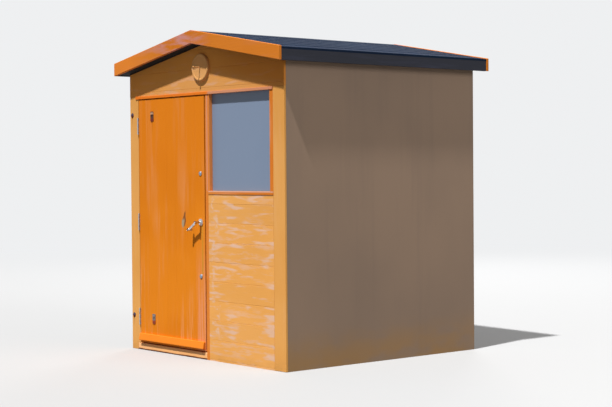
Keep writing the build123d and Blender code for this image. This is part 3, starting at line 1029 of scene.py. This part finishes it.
def zinc_coat():
    finish = Finish("zinc_bolt", 0.45, 0.7)
    bloom = finish.band(finish.noise((180, 180, 180), 3), 0.4, 0.7)
    base = finish.mix(bloom, colour(150, 162, 176), colour(112, 124, 138))
    finish.bump(finish.noise((400, 400, 400), 2), 0.0003)
    return finish.paint(base)


def stainless_coat():
    finish = Finish("lever_stainless", 0.24, 1.0)
    smudge = finish.noise((35, 35, 35), 3)
    base = finish.mix(finish.band(smudge, 0.4, 0.7), colour(214, 214, 216), colour(184, 182, 182))
    return finish.paint(base, finish.band(smudge, 0.3, 0.7, 0.18, 0.36))


rusty_bolt = post_bolt_coat()
rusty_plate = plate_coat()
hinge_steel = hinge_coat()
zinc_bolt = zinc_coat()
lever_stainless = stainless_coat()
print("finishes", len(bpy.data.materials))

# %% [markdown]
# ## Shiplap boards
#
# The front is clad with level boards that cover 138 mm each and meet in a small V. One
# board is a cube stretched to size, with its two long front edges bevelled in edit mode.
# Each copy is moved up the wall and sawn by itself with bisect, which also closes the cut,
# and the boards are joined last: sawn all at once, two boards that touch could share one
# closing face. A modifier would repeat the board as well, but separate copies can be
# shifted by half a millimetre each, as real boards are.

# %% Boards and saw cuts
JOINT_BEVEL = 0.0020
BOARD_PLAY = 0.0006
TINY = 0.00005


def near(a, b):
    return abs(a - b) < TINY


def cut(piece, place, normal):
    """Saw off what lies beyond a plane and close the cut."""
    pick_all(piece)
    bpy.ops.mesh.bisect(plane_co=place, plane_no=normal, use_fill=True, clear_outer=True)
    return face_out(done(piece))


def level_boards(name, low, high, planes):
    """Boards laid across the front between two corners, with joints at the hut's own heights.

    Each board is sawn at the foot and by the planes, given as a place and an outward normal.
    """
    model = timber("board", (low.x, low.y, 0), (high.x, high.y, BOARD_COVER))
    bevel_edges(model, JOINT_BEVEL, 2,
                lambda a, b: near(a.y, low.y) and near(b.y, low.y) and near(a.z, b.z))
    first = int((low.z - FIRST_JOINT) // BOARD_COVER)
    last = int((high.z - FIRST_JOINT) // BOARD_COVER)
    boards = []
    for count in range(first, last + 1):
        play = BOARD_PLAY * ((count * 7) % 5) / 4
        board = copy_of(model, (0, play, FIRST_JOINT + count * BOARD_COVER))
        for place, normal in [(low, (0, 0, -1)), *planes]:
            cut(board, place, normal)
        boards.append(board)
    discard(model)
    return join(name, boards)


panel = level_boards("panel_boards", panel_low, panel_high, [(panel_high, (0, 0, 1))])
hand_over(panel, "root", "wall_paint", wall_orange, "front_panel")
print("panel boards:", len(panel.data.polygons), "faces")

# %% Gable boards, sawn to the roof's slope
peak = Vector((0, gable_low.y, gable_high.z))
upwards = 1 / sqrt(1 + SLOPE ** 2)
slopes = [(peak, (side * SLOPE * upwards, 0, upwards)) for side in (-1, 1)]
gable = level_boards("gable_boards", gable_low, gable_high, slopes)
hand_over(gable, "root", "wall_paint", wall_orange, "front_gable")
print("gable boards:", len(gable.data.polygons), "faces, peak at", round(gable_high.z, 3))

# %% [markdown]
# ## Posts, jambs and rails
#
# These come straight from the frame: a copy of each node is merged and its flat faces are
# dissolved, then a bevel modifier takes the sharpness off every corner. Timber that has
# been painted many times has edges rounded by a millimetre or two, and it is those thin
# highlights that make it read as wood. Two pieces get more. The head has a lip, a beam
# behind it and a stop for the door, so it is three lengths of timber. The sill's nose hardly
# passes the boards on the real hut, so its front vertices are moved back.

# %% Ease the painted woodwork
ease_nodes("root", (
    ("corner_post_left", "wall_paint", post_orange, 0.0030, "front_post_left"),
    ("corner_post_right", "wall_paint", post_orange, 0.0030, "front_post_right"),
    ("doorway_jamb", "trim_paint", post_orange, 0.0020, "door_jamb"),
    ("middle_post", "trim_paint", trim_orange, 0.0020, "mullion_post"),
    ("light_jamb", "trim_paint", trim_orange, 0.0020, "window_jamb"),
    ("door_sill", "wall_paint", step_orange, 0.0050, "threshold"),
    ("grey_pane", "pane_paint", pane_grey, 0.0010, "window_pane"),
    ("side_sheet_left", "side_paint", side_taupe, 0.0015, "side_wall_left"),
    ("side_sheet_right", "side_paint", side_taupe, 0.0015, "side_wall_right"),
    ("back_sheet", "side_paint", side_taupe, 0.0015, "back_wall"),
    ("gable_board_front_left", "barge_paint", barge_orange, 0.0035, "barge_front_left"),
    ("gable_board_front_right", "barge_paint", barge_orange, 0.0035, "barge_front_right"),
    ("gable_board_back_left", "barge_paint", barge_orange, 0.0035, "barge_back_left"),
    ("gable_board_back_right", "barge_paint", barge_orange, 0.0035, "barge_back_right"),
))

# %% The head over door and light: a lip, a beam on it and a door stop below
STOP_GAP = 0.005
head_low, head_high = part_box("head_rail")
jamb_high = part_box("door_jamb")[1]
mullion_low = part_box("mullion_post")[0]
leaf_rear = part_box("door_frame")[1].y

head_parts = [
    timber("lip", (head_low.x, head_low.y, jamb_high.z), (head_high.x, head_high.y, gable_low.z)),
    timber("beam", (head_low.x, gable_high.y, gable_low.z), head_high),
    timber("stop", (jamb_high.x, leaf_rear + STOP_GAP, head_low.z),
           (mullion_low.x, head_high.y, jamb_high.z)),
]
head = join("head_band", [ease(part) for part in head_parts])
hand_over(head, "root", "trim_paint", band_orange, "head_rail")
print("head parts", len(head_parts))

# %% The sill, its nose worn back
NOSE = 0.004

sill = from_frame("weathered_sill", "window_sill")
move_part(sill, "VERT", (0, front_plane - NOSE - sill_low.y, 0),
          lambda place: place.y < front_plane - NOSE)
hand_over(ease(sill), "root", "trim_paint", sill_orange, "window_sill")
print("sill nose", NOSE, "in front of the boards")

# %% Ease the bare framing indoors
UPRIGHTS = ("side_stud_left", "side_stud_right", "back_post_left", "back_post_right")
LENGTHS = ("wall_plate_left", "wall_plate_right", "ridge_beam", "panel_rails", "floor_bearers")

for nodes, finish in ((UPRIGHTS, upright_wood), (LENGTHS, long_wood)):
    for node in nodes:
        piece = ease(from_frame("sawn_" + node, node), segments=1)
        hand_over(piece, "root", "bare_timber", finish, node)
print("eased", len(UPRIGHTS) + len(LENGTHS), "bare pieces")

# %% [markdown]
# ## Boards sawn from a plain panel
#
# The floor and the door are single slabs in the frame, but on the hut they are boards.
# The slab already has the right outline, with the cut-outs for the hinges and the hole for
# the spindle, so it is sawn rather than built anew: each board is a copy of the slab with
# all but its own width cut away. Easing every board's edges then leaves the fine grooves
# that show where two of them meet.

# %% The floor and the door, board by board
FLOOR_GAP = 0.0012
FLOOR_EDGE = 0.0015
DOOR_GAP = 0.0002
DOOR_GROOVE = 0.0009


def sawn_boards(name, node, axis, cover, gap, width):
    """The slab of a CAD node sawn across one axis into eased boards."""
    slab = from_frame(name, node)
    low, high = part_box(node)
    across = Vector([float(axis == each) for each in "xyz"])
    start, end = low.dot(across), high.dot(across)
    boards = []
    for count in range(ceil((end - start) / cover - 0.01)):
        board = copy_of(slab)
        first = start + count * cover
        last = first + cover
        if count:
            cut(board, across * (first + gap / 2), -across)
        if last < end - gap:
            cut(board, across * (last - gap / 2), across)
        boards.append(ease(board, width))
    discard(slab)
    return join(name, boards)


planks = sawn_boards("floor_planks", "floor_boards", "y", FLOOR_COVER, FLOOR_GAP, FLOOR_EDGE)
hand_over(planks, "root", "bare_timber", floor_wood, "floor_boards")
leaf = sawn_boards("door_planks", "door_leaf", "x", door_cover, DOOR_GAP, DOOR_GROOVE)
hand_over(leaf, "door", "door_paint", door_orange, "door_leaf")
print("door planks", DOOR_BOARDS, "each", round(door_cover, 3), "wide")

# %% The door's back frame, braces and drip board
ease_nodes("door", (
    ("back_frame", "door_paint", door_inner, 0.0020, "door_frame"),
    ("cross_braces", "door_paint", door_inner, 0.0020, "door_braces"),
    ("rain_drip", "door_paint", drip_orange, 0.0030, "drip_board"),
))

# %% [markdown]
# ## The felted roof
#
# Each slope is a boarded deck under mineral felt. The felt runs along the hut in strips
# that start at the eave, and every strip laps over the one below, which leaves the low
# steps that catch the light. The deck is the CAD slab with its top face moved down to make
# room, so the finished roof is no thicker than the frame says. A strip is a thin slab with
# its upper edges bevelled, tipped a little so that its foot rides on the strip below, and
# then turned to the slope. The left slope is the right one turned half round.

# %% Decks and fascias, cut down to carry the felt
FELT = 0.0025
DECK_DROP = 0.0085
DECK_EDGE = 0.001
EAVE_EDGE = 0.0025
eave_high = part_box("fascia_right")[1]
roof_angle = atan(SLOPE)
half_turn = Matrix.Rotation(pi, 4, "Z")


def turned_round(name, piece):
    """A copy for the left slope, turned half round about the hut's middle."""
    twin = copy_of(piece, turn=half_turn)
    twin.name = name
    return twin


deck = from_frame("deck_right", "roof_right")
eave = from_frame("eave_board_right", "fascia_right")
for piece in (deck, eave):
    move_part(piece, "FACE", (0, 0, -DECK_DROP), lambda place, normal: normal.z > 0.9)
move_part(eave, "FACE", (-FELT, 0, 0), lambda place, normal: normal.x > 0.9)
ease(deck, DECK_EDGE, 1)
ease(eave, EAVE_EDGE)
for piece in (deck, turned_round("deck_left", deck)):
    hand_over(piece, "root", "bare_timber", deck_wood)
left_eave = turned_round("eave_board_left", eave)
hand_over(eave, "root", "fascia_paint", fascia_black, "fascia_right")
hand_over(left_eave, "root", "fascia_paint", fascia_black, "fascia_left")
print("roof pitch in degrees:", round(degrees(roof_angle), 2))

# %% Felt strips and clout nails for one slope
FELT_STRIP = 0.168
FELT_LAP = 0.045
FELT_TURN_DOWN = 0.014
FELT_EDGE = 0.001
FOLD_EDGE = 0.0008
LIP_SET_BACK = 0.0003
CLOUT = [(0.0042, -0.0006), (0.0042, 0.0002), (0.0026, 0.0006)]
NAIL_STEP = 0.135
NAIL_INSET = 0.016

eave_top = Vector((eave_high.x - LIP_SET_BACK, 0, roof_high.z - eave_high.x * SLOPE - DECK_DROP))
up_the_slope = Matrix.Translation(eave_top) @ Matrix.Rotation(roof_angle, 4, "Y")
slope_length = eave_high.x / cos(roof_angle)

clout = turned_piece("clout", (0, 0), 0, CLOUT, 8)
clout.data.transform(Matrix.Rotation(-pi / 2, 4, "X"))
strips = []
foot = 0.0
while foot < slope_length - FELT_LAP:
    length = min(FELT_STRIP + FELT_LAP, slope_length - foot)
    strip = timber("strip", (-length, roof_low.y, 0), (0, roof_high.y, FELT))
    bevel_edges(strip, FELT_EDGE, 2, lambda a, b: near(a.z, FELT) and near(b.z, FELT))
    rise = FELT if foot > 0 else 0.0
    tip = Matrix.Translation((-foot, 0, rise)) @ Matrix.Rotation(-rise / length, 4, "Y")
    strip.data.transform(tip)
    strips.append(strip)
    for step in range(ceil((roof_high.y - roof_low.y - 2 * NAIL_INSET) / NAIL_STEP)):
        along = roof_low.y + NAIL_INSET + NAIL_STEP * (step + 0.3 * (len(strips) % 3))
        if along < roof_high.y:
            strips.append(copy_of(clout, (-foot - NAIL_INSET, along, rise + FELT)))
    foot += FELT_STRIP
fold = timber("fold", (-FELT, roof_low.y, -FELT_TURN_DOWN), (0, roof_high.y, FELT / 2))
strips.append(ease(fold, FOLD_EDGE, 1))
discard(clout)
right_felt = join("felt_right", strips)
right_felt.data.transform(up_the_slope)
smooth(right_felt)
left_felt = turned_round("felt_left", right_felt)
hand_over(right_felt, "root", "roof_felt", roof_felt, "roof_right")
hand_over(left_felt, "root", "roof_felt", roof_felt, "roof_left")
print("felt pieces on one slope:", len(strips))

# %% The strip folded over the ridge
RIDGE_COVER = 0.105
RIDGE_DROP = 0.0032
RIDGE_EDGE = 0.0009

ridge_z = roof_high.z - RIDGE_DROP
ridge = timber("ridge_felt", (-RIDGE_COVER, roof_low.y, ridge_z - FELT),
               (RIDGE_COVER, roof_high.y, ridge_z))
pick_all(ridge)
bpy.ops.mesh.bisect(plane_co=(0, 0, 0), plane_no=(1, 0, 0))
done(ridge)
move_part(ridge, "VERT", (0, 0, -RIDGE_COVER * SLOPE),
          lambda place: abs(place.x) > RIDGE_COVER / 2)
hand_over(ease(ridge, RIDGE_EDGE), "root", "roof_felt", roof_felt)
print("ridge felt", [round(v, 3) for v in ridge.dimensions])

# %% [markdown]
# ## Turned and domed pieces
#
# The roundel in the gable was turned on a lathe, and every nail, screw and bolt head is
# round as well. All of them start as one filled circle. Its face is extruded again and
# again, each time moved outwards and resized, which is how a lathe profile is built up by
# hand. The last face is merged into a point, so the pole is closed. A spun outline would
# give the same shape, but the rings are easier to write down: a radius, and how far that
# ring stands out.

# %% The roundel with its slim boss
DISC = 0.020
EDGE = 0.008
RIM = 0.016
DISH = 0.015
BOSS = 0.009
WAIST = 0.0045
NECK = 0.0032
NECK_OUT = 0.050
BALL = 0.00689


def quarter(steps, first=1, last=None):
    """The angles of a quarter turn cut into steps."""
    return [pi / 2 * step / steps for step in range(first, (last or steps) + 1)]


roundel_low, roundel_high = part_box("gable_roundel")
roundel_x, disc_radius = middle_and_half("gable_roundel")
rings = [(disc_radius, -0.004), (disc_radius, DISC - EDGE)]
rings += [(disc_radius - EDGE + EDGE * cos(turn), DISC - EDGE + EDGE * sin(turn))
          for turn in quarter(6)]
rings += [(disc_radius - RIM + 0.003, DISC), (disc_radius - RIM, DISC - 0.001),
          (disc_radius - RIM - 0.005, DISH), (BOSS + 0.004, DISH)]
rings += [(BOSS - (BOSS - WAIST) * sin(turn), DISH + (BOSS - WAIST) * (1 - cos(turn)))
          for turn in quarter(6, 0)]
rings.append((NECK, DISH + NECK_OUT))
ball_middle = DISH + NECK_OUT + sqrt(BALL ** 2 - NECK ** 2)
for step in range(1, 12):
    turn = asin(NECK / BALL) + (pi - asin(NECK / BALL)) * step / 12
    rings.append((BALL * sin(turn), ball_middle - BALL * cos(turn)))
rings.append((0, ball_middle + BALL))
roundel_middle = (roundel_x, (roundel_high.z + roundel_low.z) / 2)
roundel = turned_piece("roundel", roundel_middle, front_plane, rings, 64)
hand_over(roundel, "root", "wall_paint", roundel_orange, "gable_roundel")
print("roundel rings", len(rings), "tip at y", round(roundel.bound_box[0][1], 3))

# %% Bolt heads on the post and the door
def domed(radius, height, foot=0.35, steps=5):
    """Rings of a low dome on a short upright edge."""
    dome = [(radius * cos(turn), height * (foot + (1 - foot) * sin(turn)))
            for turn in quarter(steps, last=steps - 1)]
    return [(radius, -0.001), (radius, height * foot), *dome, (0, height)]


def pair_of_heads(name, node, profiles):
    """The same rings at the upper and the lower end of a node's box."""
    low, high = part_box(node)
    x, radius = middle_and_half(node)
    return join(name, [turned_piece("head", (x, z), front_plane, rings, 32)
                       for z in (low.z + radius, high.z - radius) for rings in profiles])


WASHER = 0.0018
washer = [(bolt_radius, -0.001), (bolt_radius, WASHER * 0.6), (bolt_radius - 0.0008, WASHER),
          (bolt_radius * 0.72, WASHER), (0, WASHER)]
bolt_head = domed(bolt_radius * 0.70, front_plane - bolt_low.y, 0.5)
post_heads = pair_of_heads("coach_bolts", "post_bolts", (washer, bolt_head))
hand_over(post_heads, "root", "rusty_steel", rusty_bolt, "post_bolts")

stud_radius = middle_and_half("bolt_heads")[1]
stud = domed(stud_radius, front_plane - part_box("bolt_heads")[0].y)
hand_over(pair_of_heads("cleat_bolts", "bolt_heads", (stud,)), "door", "bolt_steel", zinc_bolt,
          "bolt_heads")
print("bolt radius", round(bolt_radius, 4), "stud radius", round(stud_radius, 4))

# %% Rusted plates on the door
PLATE = 0.004
PLATE_CORNER = 0.006
PLATE_EDGE = 0.0008
PLATE_BOLT = 0.012

plates = []
for foot in (plate_low.z, plate_high.z - PLATE_LENGTH):
    plate = timber("plate", (plate_low.x, front_plane - PLATE, foot),
                   (plate_high.x, front_plane, foot + PLATE_LENGTH))
    bevel_edges(plate, PLATE_CORNER, 5, lambda a, b: near(a.x, b.x) and near(a.z, b.z))
    plates.append(ease(plate, PLATE_EDGE))
    for share, radius in ((0.75, PLATE_BOLT), (0.2, PLATE_BOLT / 2)):
        spot = (plate_x, foot + PLATE_LENGTH * share)
        head = domed(radius, (front_plane - plate_low.y - PLATE) * radius / PLATE_BOLT)
        plates.append(turned_piece("rivet", spot, front_plane - PLATE, head, 20))
hand_over(join("hasp_plates", plates), "door", "rusty_steel", rusty_plate, "door_brackets")
print("plates at x", round(plate_x, 3))

# %% [markdown]
# ## Nails
#
# Two nails hold each board at each end. They have been painted over, so a head shows only
# as a low round bump. One head is modelled with few faces and copied.

# %% Painted-over nail heads in the front boards
NAIL_RADIUS = 0.0036
NAIL_PROUD = 0.0006
NAIL_EDGE = 0.030
FROM_JOINT = 0.028
FROM_ROOF = 0.03
FROM_SAW_CUT = 0.012
SHORTEST = 0.25

nail = turned_piece("nail", (0, 0), 0, domed(NAIL_RADIUS, NAIL_PROUD, 0.3, 3), 10)
heads = []
for low, high in ((panel_low, panel_high), (gable_low, gable_high)):
    count = int((low.z - FIRST_JOINT) // BOARD_COVER)
    while FIRST_JOINT + count * BOARD_COVER < high.z:
        joint = FIRST_JOINT + count * BOARD_COVER
        for z in (joint + FROM_JOINT, joint + BOARD_COVER - FROM_JOINT):
            reach = min(high.x, (gable_high.z - z - FROM_ROOF) / SLOPE)
            for x in (max(low.x, -reach) + NAIL_EDGE, reach - NAIL_EDGE):
                if low.z + FROM_SAW_CUT < z < high.z - FROM_SAW_CUT and reach > SHORTEST:
                    heads.append(copy_of(nail, (x, front_plane, z)))
        count += 1
discard(nail)
hand_over(join("board_nails", heads), "root", "wall_paint", wall_orange)
print("nail heads", len(heads))

# %% [markdown]
# ## Hinges
#
# Three steel butt hinges carry the door. On each, three knuckles belong to the frame and
# two to the door, and a pin holds them in line. Each half is modelled once, at height zero,
# with its plate, knuckles and screws, and copied to the three places. The two halves are
# separate pieces, because one of them swings.

# %% One hinge, in two halves, copied three times
HINGE_LENGTH = 0.126
KNUCKLES = 5
KNUCKLE_GAP = 0.0005
KNUCKLE_RADIUS = 0.006
PIN_RADIUS = 0.003
PIN_PROUD = 0.001
HINGE_PLATE = 0.0025
HINGE_EDGE = 0.0005
HINGE_CLEARANCE = 0.005
SCREW_RADIUS = 0.0042
SCREW_HEIGHT = 0.0007

hinge_low, hinge_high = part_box("hinge_frame_leaves")
joints = frame["record"]["behaviour"]["joints"]
pin = next(Vector(joint["pos_m"]) for joint in joints if joint["child"] == "door")
hinge_feet = (hinge_low.z, pin.z - HINGE_LENGTH / 2, hinge_high.z - HINGE_LENGTH)


def round_bar(name, place, radius, length, vertices=24):
    """An upright round bar with softened ends, standing on a place."""
    deselect()
    bpy.ops.mesh.primitive_cylinder_add(vertices=vertices, radius=radius, depth=length,
                                        location=Vector(place) + Vector((0, 0, length / 2)))
    return ease(settled(name), radius * 0.12)


def hinge_half(near_x, far_x, outward, first, with_pin):
    """Plate, knuckles and screws of one half, its foot at height zero."""
    back = hinge_high.y
    plate = timber("plate", (near_x, front_plane, 0), (far_x, back, HINGE_LENGTH))
    parts = [ease(plate, HINGE_EDGE, 1)]
    step = (HINGE_LENGTH + KNUCKLE_GAP) / KNUCKLES
    for count in range(first, KNUCKLES, 2):
        foot, top = count * step, (count + 1) * step - KNUCKLE_GAP
        parts.append(round_bar("knuckle", (pin.x, pin.y, foot), KNUCKLE_RADIUS, top - foot))
        parts.append(timber("tab", (near_x, pin.y, foot), (far_x, front_plane, top)))
    face = near_x if outward < 0 else far_x
    turn = Matrix.Rotation(outward * pi / 2, 4, "Z")
    for share, y in ((0.14, 0.35), (0.5, 0.65), (0.86, 0.35)):
        place = (face, front_plane + (back - front_plane) * y, HINGE_LENGTH * share)
        parts.append(copy_of(screw, place, turn))
    if with_pin:
        foot = (pin.x, pin.y, -PIN_PROUD)
        parts.append(round_bar("pin", foot, PIN_RADIUS, HINGE_LENGTH + 2 * PIN_PROUD, 16))
    return join("hinge_half", parts)


screw = turned_piece("screw", (0, 0), 0, domed(SCREW_RADIUS, SCREW_HEIGHT, 0.3, 3), 16)
fixed_x = (door_low.x - HINGE_CLEARANCE - HINGE_PLATE, door_low.x - HINGE_CLEARANCE)
moving_x = (door_low.x, door_low.x + HINGE_PLATE)
for name, span, outward, first, body, node in (
    ("hinge_fixed", fixed_x, 1, 0, "root", "hinge_frame_leaves"),
    ("hinge_moving", moving_x, -1, 1, "door", "hinge_door_leaves"),
):
    model = hinge_half(*span, outward, first, body == "root")
    copies = [copy_of(model, (0, 0, foot)) for foot in hinge_feet]
    discard(model)
    hand_over(join(name, copies), body, "hinge_steel", hinge_steel, node)
discard(screw)
print("hinge feet", [round(z, 3) for z in hinge_feet])

# %% [markdown]
# ## The lever
#
# The lever is a bent round bar. Here it starts as a filled circle on the rose: the face is
# extruded for each straight run and spun for each bend, and the free end is rounded off by
# smaller and smaller extrusions. It is drawn level, and then turned about the spindle until
# it hangs as it does in the photograph, with its end well below the rose. A rose is turned
# like the roundel, but its two flat rings are taken off the back and the gap is bridged.

# %% Lever, inner lever and spindle
LEVER_RADIUS = 0.0095
LEVER_LENGTH = 0.102
LEVER_RETURN = 0.056
LEVER_BEND = 0.014
LEVER_TIP = LEVER_RADIUS * 0.5
LEVER_REACH = 0.074
LEVER_DROOP = radians(32)
RUNNING_GAP = 0.0003
SPINDLE = 0.008
SPINDLE_EDGE = 0.0004


def bent_bar(name, face, side):
    """The bar from its rose: out, along to the left, and back. side is -1 in front, 1 behind."""
    piece = bar_end(name, LEVER_RADIUS, (0, face, 0), 28)
    elbow = face + side * (LEVER_REACH - LEVER_RADIUS - RUNNING_GAP)
    bend_y = elbow - side * LEVER_BEND
    push((0, bend_y - face, 0))
    bpy.ops.mesh.spin(steps=8, angle=side * pi / 2, center=(-LEVER_BEND, bend_y, 0),
                      axis=(0, 0, 1))
    push((2 * LEVER_BEND - LEVER_LENGTH, 0, 0))
    bpy.ops.mesh.spin(steps=8, angle=side * pi / 2, center=(LEVER_BEND - LEVER_LENGTH, bend_y, 0),
                      axis=(0, 0, 1))
    push((0, -side * (LEVER_RETURN - LEVER_BEND - LEVER_TIP), 0))
    radius, out = LEVER_RADIUS, 0.0
    for turn in quarter(5, last=4):
        push((0, -side * (LEVER_TIP * sin(turn) - out), 0))
        out = LEVER_TIP * sin(turn)
        end_y = elbow - side * (LEVER_RETURN - LEVER_TIP + out)
        shrink(LEVER_RADIUS * cos(turn) / radius, (-LEVER_LENGTH, end_y, 0))
        radius = LEVER_RADIUS * cos(turn)
    return smooth(face_out(done(piece)), TURNED_ANGLE)


spindle = Vector((spindle_x, 0, (rose_low.z + rose_high.z) / 2))
droop = Matrix.Translation(spindle) @ Matrix.Rotation(-LEVER_DROOP, 4, "Y")
outer = bent_bar("door_lever", rose_low.y - RUNNING_GAP, -1)
square = timber("spindle", (-SPINDLE / 2, rose_low.y - RUNNING_GAP, -SPINDLE / 2),
                (SPINDLE / 2, rose_high.y + RUNNING_GAP, SPINDLE / 2))
outer = join("door_lever", [outer, ease(square, SPINDLE_EDGE, 1)])
inner = bent_bar("inside_lever", rose_high.y + RUNNING_GAP, 1)
for piece, node in ((outer, "lever_handle"), (inner, "inner_lever")):
    piece.data.transform(droop)
    hand_over(piece, "lever", "lever_steel", lever_stainless, node)
print("lever hangs", round(degrees(LEVER_DROOP)), "degrees below level")

# %% Roses, each a ring whose bore is bridged open
ROSE_BORE = 0.0065

rose_thickness = front_plane - rose_low.y
rose = turned_piece("rose", (spindle.x, spindle.z), front_plane, [
    (rose_radius, 0), (rose_radius, rose_thickness * 0.55),
    (rose_radius - 0.0012, rose_thickness * 0.85), (rose_radius - 0.004, rose_thickness),
    (ROSE_BORE + 0.001, rose_thickness), (ROSE_BORE, rose_thickness - 0.001), (ROSE_BORE, 0),
], 48)
pick(rose, "FACE", lambda place, normal: near(place.y, front_plane) and abs(normal.y) > 0.9)
bpy.ops.mesh.delete(type="FACE")
done(rose)
pick(rose, "EDGE", lambda a, b: near(a.y, front_plane) and near(b.y, front_plane))
bpy.ops.mesh.bridge_edge_loops()
smooth(face_out(done(rose)), TURNED_ANGLE)
behind = Vector((2 * spindle.x, rose_high.y + rose_low.y, 0))
other_rose = copy_of(rose, behind, half_turn)
hand_over(join("roses", [rose, other_rose]), "door", "lever_steel", lever_stainless, "handle_roses")
print("rose radius", round(rose_radius, 4), "bore", ROSE_BORE)
